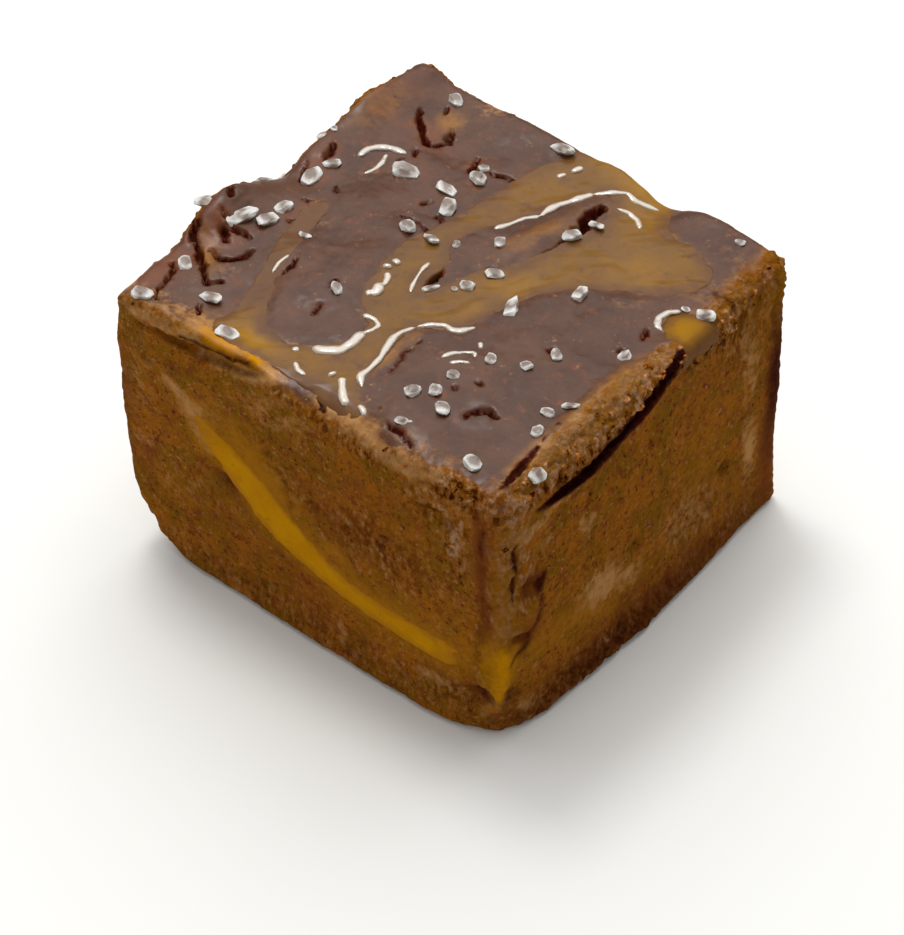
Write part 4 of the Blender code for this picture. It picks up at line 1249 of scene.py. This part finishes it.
class FudgeLook(bpy.types.PropertyGroup):
    """Colours of the block and of what lies on it."""

    cut_colour: colour_setting("Cut", "Cut faces of the chocolate", (0.152, 0.071, 0.0023))
    cut_colour_2: colour_setting("Cut, warmer", "Blotches in the cut faces", (0.318, 0.1, 0.0065))
    skin_colour: colour_setting("Skin", "Top skin of the chocolate", (0.06, 0.021, 0.009))
    skin_colour_2: colour_setting("Skin, paler", "Blotches in the skin", (0.106, 0.041, 0.019))
    crumb_colour: colour_setting("Crumbs", "Crumbs of the worn edges", (0.37, 0.165, 0.055))
    pale_colour: colour_setting("Crumbs, palest", "The palest crumbs", (0.52, 0.28, 0.15))
    red_colour: colour_setting("Maroon", "The richest, reddest fudge", (0.17, 0.042, 0.008))
    rosy_colour: colour_setting("Bloom", "Fatty bloom on the cut faces", (0.42, 0.205, 0.068))
    amber_colour: colour_setting("Amber", "Caramel rubbed into the chocolate", (0.33, 0.13, 0.006))
    # Painted shade: the dark laid into pits, cracks, grooves and the gaps between crumbs; also
    # small dark specks in the cut faces and the skin.
    shade_and_speck_colour: colour_setting("Dark", "Bottoms of pits and cracks", (0.04, 0.005, 0.003))
    caramel_colour: colour_setting("Caramel", "Body of the caramel", (0.155, 0.072, 0.018))
    caramel_colour_2: colour_setting("Caramel, deeper", "Its deeper parts", (0.2, 0.088, 0.007))
    gold_colour: colour_setting("Gold", "The brightest caramel of the top", (0.3, 0.138, 0.005))
    # Painted highlight: golden caramel lightened to stand in for glints on the smears at the front
    # corner and rim.
    gold_glint_colour: colour_setting("Bright", "Brightest caramel on the edges", (0.5, 0.205, 0.001))
    ribbon_colour: colour_setting("Ribbon", "Body of the ribbon", (0.4, 0.163, 0.0005))
    ribbon_colour_2: colour_setting("Ribbon, deeper", "Its deeper parts", (0.455, 0.205, 0.0005))
    cocoa_colour: colour_setting("Cocoa", "Chocolate rubbed into caramel", (0.12, 0.05, 0.018))
    # Painted highlight: both syrup colours are lightened towards white to stand in for the glints
    # on the beads.
    syrup_glint_colour: colour_setting("Syrup", "Syrup on chocolate", (0.42, 0.35, 0.28))
    syrup_glint_colour_2: colour_setting("Syrup on caramel", "Syrup on caramel", (0.46, 0.37, 0.27))
    # Painted light: the pale rims stand in for light refracted at the crystals' edges, the clear
    # middles for the chocolate seen through them.
    salt_refraction_colour: colour_setting("Salt", "Frosty rims of the crystals", (0.88, 0.87, 0.82))
    salt_refraction_colour_2: colour_setting("Salt, clearer", "Clear middles", (0.26, 0.19, 0.15))


class FudgeSizes(bpy.types.PropertyGroup):
    """How finely the pieces are made, and how uneven they are."""

    skin_cell: length_setting("Skin cell", "Spacing of points on the chocolate", 0.00025)
    pool_cell: length_setting("Pool cell", "Spacing of points on the caramel", 0.0002)
    crumb_depth: length_setting("Crumb depth", "Relief of the crumbled edges", 0.00075)
    grain_depth: length_setting("Grain depth", "Relief of the cut faces", 0.00008)
    bead_cell: length_setting("Bead cell", "Spacing of points on the syrup", 0.00012)
    triangles: bpy.props.IntProperty(
        name="Triangles", description="Most triangles in the chocolate block", default=190000
    )
    crumbs: bpy.props.IntProperty(name="Crumbs", description="Number of loose crumbs", default=130)


# Building the pieces.


def lumpy(points, pitch, offset=0.0):
    """Rounded lumps with creases between them, about -0.4 in the creases to 0.5 on the lumps."""
    shift = Vector((offset, offset, offset))
    return np.array([0.5 - noise.voronoi(Vector(p) * pitch + shift)[0][0] for p in points])


def carve_creases(points):
    """How deep the creases of the top and the pits of the sides are at each point."""
    top = smooth_step(3.4, 2.2, depth_behind(TOP, points))
    creases = pits = np.zeros(len(points))
    wander = 0.3 * np.stack([waves(points, 1.0, 3.0), waves(points, 1.0, 8.0)], axis=1)
    wander += 0.17 * np.stack([waves(points, 2.6, 5.0), waves(points, 2.6, 9.0)], axis=1)
    broken = np.clip(0.85 + 0.9 * waves(points, 1.3, 14.0), 0.25, 1.2)
    for line, half_width, deep in TOP_CREASES:
        field = line_field(points[:, :2] + wander, line, half_width)
        creases = highest(creases, deep * top * broken * field)
    for centre, radii, deep in SIDE_PITS:
        pits = highest(pits, deep * patch_field(points, centre, radii))
    return creases, pits


def block_relief(points, normals, sizes):
    """How every point of the chocolate moves, in millimetres."""
    loose = finish_fields(points)["crumb"]
    creases, pits = carve_creases(points)
    top = smooth_step(2.2, 1.2, depth_behind(TOP, points)) * smooth_step(0.2, 0.7, normals[:, 2])
    top *= 1 - crumbled(points)
    relief = np.zeros(len(points))
    crumbly = loose > 0.03
    stretched = points[crumbly] * (1.0, 0.7, 1.0)
    lumps = lumpy(stretched, 1.15) + 0.45 * lumpy(stretched, 2.2, 5.0)
    relief[crumbly] += sizes.crumb_depth / MM * loose[crumbly] * (lumps - 0.1)
    rough = waves(points, 1.1) + 0.7 * waves(points, 2.4, 5.0)
    relief += sizes.grain_depth / MM * rough * (1 - 0.6 * top)
    relief += 0.12 * (1 - top) * waves(points, 0.4, 3.0)
    relief += 0.06 * top * waves(points, 0.55, 6.0) + 0.045 * top * waves(points, 1.4, 9.0)
    middle, half, start, end = ribbon_section(points[:, 0], points[:, 1])
    gap = np.abs(points[:, 2] - middle) - half
    outer = depth_in(points, RIGHT, FRONT, BACK)
    bared = smooth_step(0.35, -0.15, gap + 0.22 * rough) * smooth_step(3.0, 2.0, outer)
    bared *= smooth_step(start + 1.5, start + 5.5, points[:, 0] + 0.8 * rough)
    bared *= smooth_step(end, end - 1.5, points[:, 0])
    relief -= 0.5 * bared * ribbon_shows(points)
    moves = normals * (relief - pits)[:, None]
    border = pool_depth(points) + 0.3 * waves(points, 0.9, 12.0) + 0.15 * waves(points, 2.2, 3.0)
    above = smooth_step(2.8, 1.8, depth_behind(TOP, points))
    sunk = 0.9 * smooth_step(-0.1, 0.9, border) + 0.15 * smooth_step(-1.8, 0.2, border)
    moves[:, 2] -= above * (creases + sunk)
    moves[:, 2] *= smooth_step(0.0, 0.8, points[:, 2])
    return moves


def thin_out(obj, triangles):
    """Leaves obj no more triangles than it may have."""
    share = triangles / (2 * len(obj.data.polygons))
    if share < 1:
        apply_modifier(obj, "DECIMATE", ratio=share, use_collapse_triangulate=True)


def build_block(sizes, look):
    """The chocolate: cut, cracked, creased and crumbled."""
    obj = cut_block("fudge_block")
    for index, values in enumerate(GROOVES):
        boolean(obj, groove(f"groove_{index}", *values), "DIFFERENCE")
    remeshed(obj, sizes.skin_cell, 2)
    points, normals = places_of(obj), normals_of(obj)
    put_places(obj, points + block_relief(points, normals, sizes))
    thin_out(obj, sizes.triangles)
    colour_block(obj)
    finish(obj, "fudge_block", fudge_material(look), "fudge", "fudge")


def colour_block(obj):
    """Where the chocolate is skinned, crumbled, worn or smeared, and where shade is painted into
    its creases, pits and grooves.
    """
    points = places_of(obj)
    fields = finish_fields(points)
    loose = crumbled(points)
    edge = depth_in(points, LEFT, RIGHT, FRONT, BACK)
    skin = smooth_step(2.4, 1.4, depth_behind(TOP, points)) * smooth_step(0.5, 1.3, edge)
    skin *= 1 - smooth_step(0.3, 0.7, loose)
    store(obj, "skin", skin)
    middle, half, start, end = ribbon_section(points[:, 0], points[:, 1])
    gap = points[:, 2] - middle
    gap = np.where(gap > 0, gap - half, 2.4 * (-gap - half))
    beside = np.exp(-np.clip(gap, 0, None) / 1.6) * ribbon_shows(points)
    beside *= smooth_step(start - 1, start + 3, points[:, 0])
    beside *= smooth_step(end + 1, end - 3, points[:, 0])
    lapped = 0.25 * skin * smooth_step(-0.9, 0.3, pool_depth(points))
    fields["amber"] = highest(fields["amber"], beside * (1 - skin), lapped)
    creases, pits = carve_creases(points)
    fields["red"] = highest(fields["red"], 0.8 * skin * smooth_step(0.04, 0.25, creases))
    # Painted shade: the dark finish darkens the creases, the pits of the sides and the walls of the
    # grooves.
    fields["dark"] = highest(
        fields["dark"], smooth_step(0.05, 0.2, creases), 1.1 * pits,
        *(shade * within_groove(points, *given) for shade, given in zip(GROOVE_SHADES, GROOVES)),
    )
    for name, field in fields.items():
        store(obj, name, field)


def colour_pool(obj):
    """Where chocolate is rubbed into a pool of caramel, and where it is brightest."""
    points = places_of(obj)
    plan = points[:, :2]
    x, y = plan.T
    store(obj, "cocoa", highest(
        0.75 * smooth_step(1.5, -0.2, pool_depth(points)),
        0.9 * (smooth_step(-8.0, -12.0, x) * smooth_step(-18.5, -15.0, y)),
        0.85 * (smooth_step(-19.4, -20.4, y) * smooth_step(-3.0, 3.0, x)),
        0.45 * patch_field(plan, (-2.0, 8.5), (2.6, 5.0)),
        0.35 * patch_field(plan, (0.0, -15.0), (3.0, 4.5)),
        0.8 * smooth_step(22.4, 24.0, x) * smooth_step(12.0, 9.0, y),
    ))
    store(obj, "gold", highest(*(
        strength * patch_field(plan, place, reach) for place, reach, strength in POOL_GLEAMS
    )))


def build_pool(name, outline, island, node, grow, gloss, sizes, look):
    """A pool of top caramel that laps under the rounded border of the chocolate round it."""
    obj = pool(name, outline, OVERLAP, island)
    boolean(obj, cut_block("lowered_block", CARAMEL_DROP, grow, CUTTER_CUTS), "INTERSECT")
    remeshed(obj, sizes.pool_cell, 4)
    points, normals = places_of(obj), normals_of(obj)
    flow = points @ np.array([[0.75, -0.66, 0], [0.66, 0.75, 0], [0, 0, 1]]).T
    flow *= (1.0, 0.35, 1.0)
    rise = 0.12 * waves(points, 0.5, 2.0) + 0.07 * waves(flow, 1.1, 4.0)
    rise *= smooth_step(0.2, 0.8, normals[:, 2])
    put_places(obj, points + np.outer(rise, (0, 0, 1)))
    colour_pool(obj)
    tints = look.caramel_colour, look.caramel_colour_2
    material = caramel_material(name.replace("_", " "), look, tints, look.cocoa_colour, gloss, 0.25)
    finish(obj, name, material, "caramel", node)


def build_ribbon(sizes, look):
    """The ribbon that runs through the block and shows at its cut sides."""
    obj = ribbon_sheet("caramel_band", RIBBON_SPARE)
    boolean(obj, cut_block("drawn_in_block", 0.0, -0.04, CUTTER_CUTS), "INTERSECT")
    remeshed(obj, sizes.skin_cell, 2)
    points, normals = places_of(obj), normals_of(obj)
    relief = 0.12 * waves(points, 0.4, 3.0) + 0.06 * waves(points, 1.2, 4.0)
    relief -= 0.8 * (1 - ribbon_shows(points))
    relief *= smooth_step(3.0, 2.0, depth_in(points, RIGHT, FRONT, BACK))
    put_places(obj, points + normals * relief[:, None])
    thin_out(obj, RIBBON_SHARE * sizes.triangles)
    points = places_of(obj)
    middle, half, _, _ = ribbon_section(points[:, 0], points[:, 1])
    gap = np.abs(points[:, 2] - middle) - half
    store(obj, "cocoa", highest(
        0.75 * smooth_step(-0.9, 0.2, gap),
        0.9 * (1 - ribbon_shows(points)),
        0.8 * smooth_step(-9.0, -14.0, points[:, 0]),
        0.8 * smooth_step(14.5, 19.0, points[:, 0]),
    ))
    store(obj, "gold", np.zeros(len(points)))
    tints = look.ribbon_colour, look.ribbon_colour_2
    material = caramel_material("caramel band", look, tints, look.amber_colour, 0.0, 0.4)
    finish(obj, "caramel_band", material, "caramel", "caramel_ribbon")


def bead(ground, line, half_width, index):
    """One bead of syrup, which thins to both ends of its line."""
    line = [np.array(place) for place in line]
    lengths = [np.linalg.norm(b - a) for a, b in zip(line, line[1:])]
    count = max(6, int(sum(lengths) / BEAD_STEP))
    rings = []
    for station in range(count + 1):
        reach = sum(lengths) * station / count
        k = 0
        while k < len(lengths) - 1 and reach > lengths[k]:
            reach -= lengths[k]
            k += 1
        middle = line[k] + (line[k + 1] - line[k]) * min(1.0, reach / lengths[k])
        along = (line[k + 1] - line[k]) / lengths[k]
        place, _ = drop_onto(ground, *middle)
        swell = math.sqrt(max(0.03, 1 - (2 * station / count - 1) ** 8))
        swell *= 1 + 0.45 * noise.noise(Vector((*middle, index)) * 0.8)
        side = Vector((-along[1], along[0], 0))
        radius = half_width * swell
        ring = []
        for step in range(BEAD_SIDES):
            turn = 2 * math.pi * step / BEAD_SIDES
            rise = Vector((0, 0, BEAD_RISE * radius * math.sin(turn)))
            ring.append(place + side * (radius * math.cos(turn)) + rise)
        rings.append(ring)
    return rolled_tube(f"bead_{index}", rings)


def build_beads(sizes, look):
    """Glossy beads of syrup along the borders of the caramel."""
    ground = ground_of("fudge_block", "caramel_pool", "caramel_dab")
    obj = joined([bead(ground, *given, index) for index, given in enumerate(BEADS)])
    remeshed(obj, sizes.bead_cell, 6)
    store(obj, "over", smooth_step(-0.6, 0.6, pool_depth(places_of(obj))))
    finish(obj, "syrup_beads", syrup_material(look), "caramel")


def joined(objects):
    """Several objects as one."""
    deselect()
    for obj in objects:
        obj.select_set(True)
    bpy.context.view_layer.objects.active = objects[0]
    bpy.ops.object.join()
    return objects[0]


def crystal(ground, place, half_size, heading, seed):
    """One salt crystal: an angular lump, pressed into what it lies on."""
    draw = random.Random(seed)
    height = SALT_FLATNESS * half_size[1] * draw.uniform(0.8, 1.2)
    half = SALT_SIZE * Vector((*half_size, height))
    deselect()
    bpy.ops.mesh.primitive_ico_sphere_add(subdivisions=2, radius=1)
    obj = bpy.context.active_object
    foot, normal = drop_onto(ground, *place)
    lean = Vector((0, 0, 1)).lerp(normal, 0.6).to_track_quat("Z", "Y").to_matrix()
    turn = Matrix.Rotation(math.radians(heading), 3, "Z")
    tilt = Matrix.Rotation(draw.uniform(-0.3, 0.3), 3, "X")
    tilt @= Matrix.Rotation(draw.uniform(-0.25, 0.25), 3, "Y")
    middle = foot + Vector((0, 0, SALT_STAND * half.z))
    points = []
    for vert in obj.data.vertices:
        boxy = sum(abs(c) ** SALT_BOXINESS for c in vert.co) ** (1 / SALT_BOXINESS)
        reach = draw.uniform(0.72, 1.05) / boxy
        local = Vector([c * h * reach for c, h in zip(vert.co, half)])
        points.append(middle + turn @ lean @ tilt @ local)
    put_places(obj, np.array(points))
    edit(obj, lambda: bpy.ops.mesh.convex_hull())
    apply_modifier(obj, "DECIMATE", decimate_type="DISSOLVE", angle_limit=math.radians(14))
    apply_modifier(obj, "BEVEL", width=SALT_BEVEL, segments=1, limit_method="ANGLE")
    apply_modifier(obj, "SUBSURF", levels=1, render_levels=1, subdivision_type="SIMPLE")
    gone = (places_of(obj) - np.array(middle)) @ np.array(turn)
    spread = np.hypot(gone[:, 0] / half.x, gone[:, 1] / half.y)
    # The rim mask is where the painted glow of refracted light goes.
    store(obj, "rim", smooth_step(0.5, 1.0, spread))
    return obj


def build_crumbs(sizes, look):
    """Loose crumbs that cling to the crumbled edges, most of them to the right-hand lip."""
    block = bpy.data.objects["fudge_block"]
    points, normals = places_of(block), normals_of(block)
    loose = np.empty(len(points), np.float32)
    block.data.attributes["crumb"].data.foreach_get("value", loose)
    draw = np.random.default_rng(SEED)
    chance = smooth_step(0.45, 1.0, loose) * smooth_step(0.3, 1.2, points[:, 2])
    chance *= smooth_step(2.6, 0.4, np.minimum(depth_behind(RIGHT, points),
                                               depth_behind(FRONT, points) + 0.8))
    chance *= smooth_step(24.0, 28.0, points[:, 2]) * (1 - within_groove(points, *GROOVES[0]))
    spots = draw.choice(len(points), sizes.crumbs, replace=False, p=chance / chance.sum())
    deselect()
    bpy.ops.mesh.primitive_ico_sphere_add(subdivisions=2, radius=MM)
    obj = bpy.context.active_object
    apply_modifier(obj, "ARRAY", fit_type="FIXED_COUNT", count=sizes.crumbs,
                   relative_offset_displace=(0.0, 0.0, 0.0))
    lumps = (places_of(obj) + CENTRING).reshape(sizes.crumbs, -1, 3)
    for lump, spot in zip(lumps, spots):
        size = CRUMB_SIZE * (0.4 + 1.1 * draw.random() ** 2)
        turn = np.linalg.qr(np.eye(3) + 0.35 * draw.normal(size=(3, 3)))[0]
        ragged = draw.uniform(0.65, 1.2, size=(len(lump), 1))
        lump[:] = points[spot] - CRUMB_SINK * normals[spot] + lump * ragged * size @ turn
    put_places(obj, lumps.reshape(-1, 3))
    edit(obj, lambda: bpy.ops.mesh.normals_make_consistent(inside=False))
    finish(obj, "fudge_crumbs", crumb_material(look), "fudge")
    bpy.ops.object.shade_smooth_by_angle(angle=math.radians(40))


def build_salt(look):
    """All the coarse salt, as one piece."""
    ground = ground_of("fudge_block", "caramel_pool", "caramel_dab")
    grains = [crystal(ground, *given, SEED + index) for index, given in enumerate(CRYSTALS)]
    obj = joined(grains)
    finish(obj, "salt_crystals", salt_material(look), None)
    bpy.ops.object.shade_smooth_by_angle(angle=math.radians(24))


# Operators.


class FUDGE_OT_block(bpy.types.Operator):
    """Build the chocolate block"""

    bl_idname = "fudge.block"
    bl_label = "Chocolate Block"

    def execute(self, context):
        build_block(context.scene.fudge_sizes, context.scene.fudge_look)
        return {"FINISHED"}


class FUDGE_OT_pools(bpy.types.Operator):
    """Build the caramel in the top: the wide swirl and the dab on the right rim"""

    bl_idname = "fudge.pools"
    bl_label = "Top Caramel"

    def execute(self, context):
        sizes, look = context.scene.fudge_sizes, context.scene.fudge_look
        swirl, sliver, dab = map(curve_through, (SWIRL_OUTLINE, SLIVER_OUTLINE, DAB_OUTLINE))
        build_pool("caramel_pool", swirl, sliver, "caramel_swirl", 0.1, 0.36, sizes, look)
        build_pool("caramel_dab", dab, None, "caramel_rim_dab", -0.05, 0.06, sizes, look)
        return {"FINISHED"}


class FUDGE_OT_ribbon(bpy.types.Operator):
    """Build the caramel ribbon that runs through the block"""

    bl_idname = "fudge.ribbon"
    bl_label = "Caramel Ribbon"

    def execute(self, context):
        build_ribbon(context.scene.fudge_sizes, context.scene.fudge_look)
        return {"FINISHED"}


class FUDGE_OT_beads(bpy.types.Operator):
    """Build the beads of wet syrup on the top"""

    bl_idname = "fudge.beads"
    bl_label = "Syrup Beads"

    def execute(self, context):
        build_beads(context.scene.fudge_sizes, context.scene.fudge_look)
        return {"FINISHED"}


class FUDGE_OT_crumbs(bpy.types.Operator):
    """Scatter loose crumbs over the crumbled edges"""

    bl_idname = "fudge.crumbs"
    bl_label = "Loose Crumbs"

    def execute(self, context):
        build_crumbs(context.scene.fudge_sizes, context.scene.fudge_look)
        return {"FINISHED"}


class FUDGE_OT_salt(bpy.types.Operator):
    """Press the coarse salt into the top"""

    bl_idname = "fudge.salt"
    bl_label = "Coarse Salt"

    def execute(self, context):
        build_salt(context.scene.fudge_look)
        return {"FINISHED"}


class FUDGE_OT_stage(bpy.types.Operator):
    """Set the pale floor, the lights and the camera"""

    bl_idname = "fudge.stage"
    bl_label = "Stage"

    def execute(self, context):
        build_floor()
        build_lights(context.scene)
        build_camera(context.scene)
        return {"FINISHED"}


def build_floor():
    """A plain pale floor."""
    deselect()
    bpy.ops.mesh.primitive_plane_add(size=4)
    floor = bpy.context.active_object
    floor.name = "floor"
    material, _, shader = blank_material("pale floor", 0.9, 0.1)
    shader.inputs["Base Color"].default_value = (*FLOOR_COLOUR, 1)
    floor.data.materials.append(material)


def build_lights(scene):
    """A white sky, a broad key from behind, a low fill, and a lamp above for wet glints."""
    world = bpy.data.worlds.new("white sky")
    world.use_nodes = True
    sky = world.node_tree.nodes["Background"]
    sky.inputs["Color"].default_value = (1.0, 1.0, 1.0, 1.0)
    sky.inputs["Strength"].default_value = SKY_STRENGTH
    scene.world = world
    for name, place, size, power in LIGHTS:
        data = bpy.data.lights.new(name, "AREA")
        data.size = size
        data.energy = power
        light = bpy.data.objects.new(name, data)
        scene.collection.objects.link(light)
        light.location = CENTRE + place
        light.rotation_euler = (CENTRE - light.location).to_track_quat("-Z", "Y").to_euler()


def build_camera(scene):
    """The camera looks down on the block's front corner."""
    data = bpy.data.cameras.new("camera")
    data.sensor_width, data.lens = CAMERA_SENSOR, CAMERA_LENS
    data.clip_start, data.clip_end = 0.01, 10.0
    camera = bpy.data.objects.new("camera", data)
    scene.collection.objects.link(camera)
    turn = Matrix((CAMERA_RIGHT, CAMERA_UP, -Vector(CAMERA_AHEAD))).transposed().to_4x4()
    camera.matrix_world = Matrix.Translation(Vector(CAMERA_PLACE) * MM) @ turn
    scene.camera = camera
    scene.view_settings.view_transform = "Standard"


class FUDGE_PT_panel(bpy.types.Panel):
    """The fudge's pieces and their settings"""

    bl_idname = "FUDGE_PT_panel"
    bl_label = "Fudge"
    bl_space_type = "VIEW_3D"
    bl_region_type = "UI"
    bl_category = "Fudge"

    def draw(self, context):
        for group in (context.scene.fudge_sizes, context.scene.fudge_look):
            for name in group.bl_rna.properties.keys():
                if name not in ("rna_type", "name"):
                    self.layout.prop(group, name)
        for operator in OPERATORS:
            self.layout.operator(operator.bl_idname)


SETTINGS = (FudgeLook, FudgeSizes)
OPERATORS = (
    FUDGE_OT_block, FUDGE_OT_pools, FUDGE_OT_ribbon, FUDGE_OT_crumbs, FUDGE_OT_beads,
    FUDGE_OT_salt, FUDGE_OT_stage,
)
CLASSES = SETTINGS + OPERATORS + (FUDGE_PT_panel,)


def register():
    for cls in CLASSES:
        bpy.utils.register_class(cls)
    bpy.types.Scene.fudge_look = bpy.props.PointerProperty(type=FudgeLook)
    bpy.types.Scene.fudge_sizes = bpy.props.PointerProperty(type=FudgeSizes)


def unregister():
    del bpy.types.Scene.fudge_sizes
    del bpy.types.Scene.fudge_look
    for cls in reversed(CLASSES):
        bpy.utils.unregister_class(cls)


def main():
    register()
    bpy.ops.fudge.block()
    bpy.ops.fudge.pools()
    bpy.ops.fudge.ribbon()
    bpy.ops.fudge.crumbs()
    bpy.ops.fudge.beads()
    bpy.ops.fudge.salt()
    bpy.ops.fudge.stage()


if __name__ == "__main__":
    main()
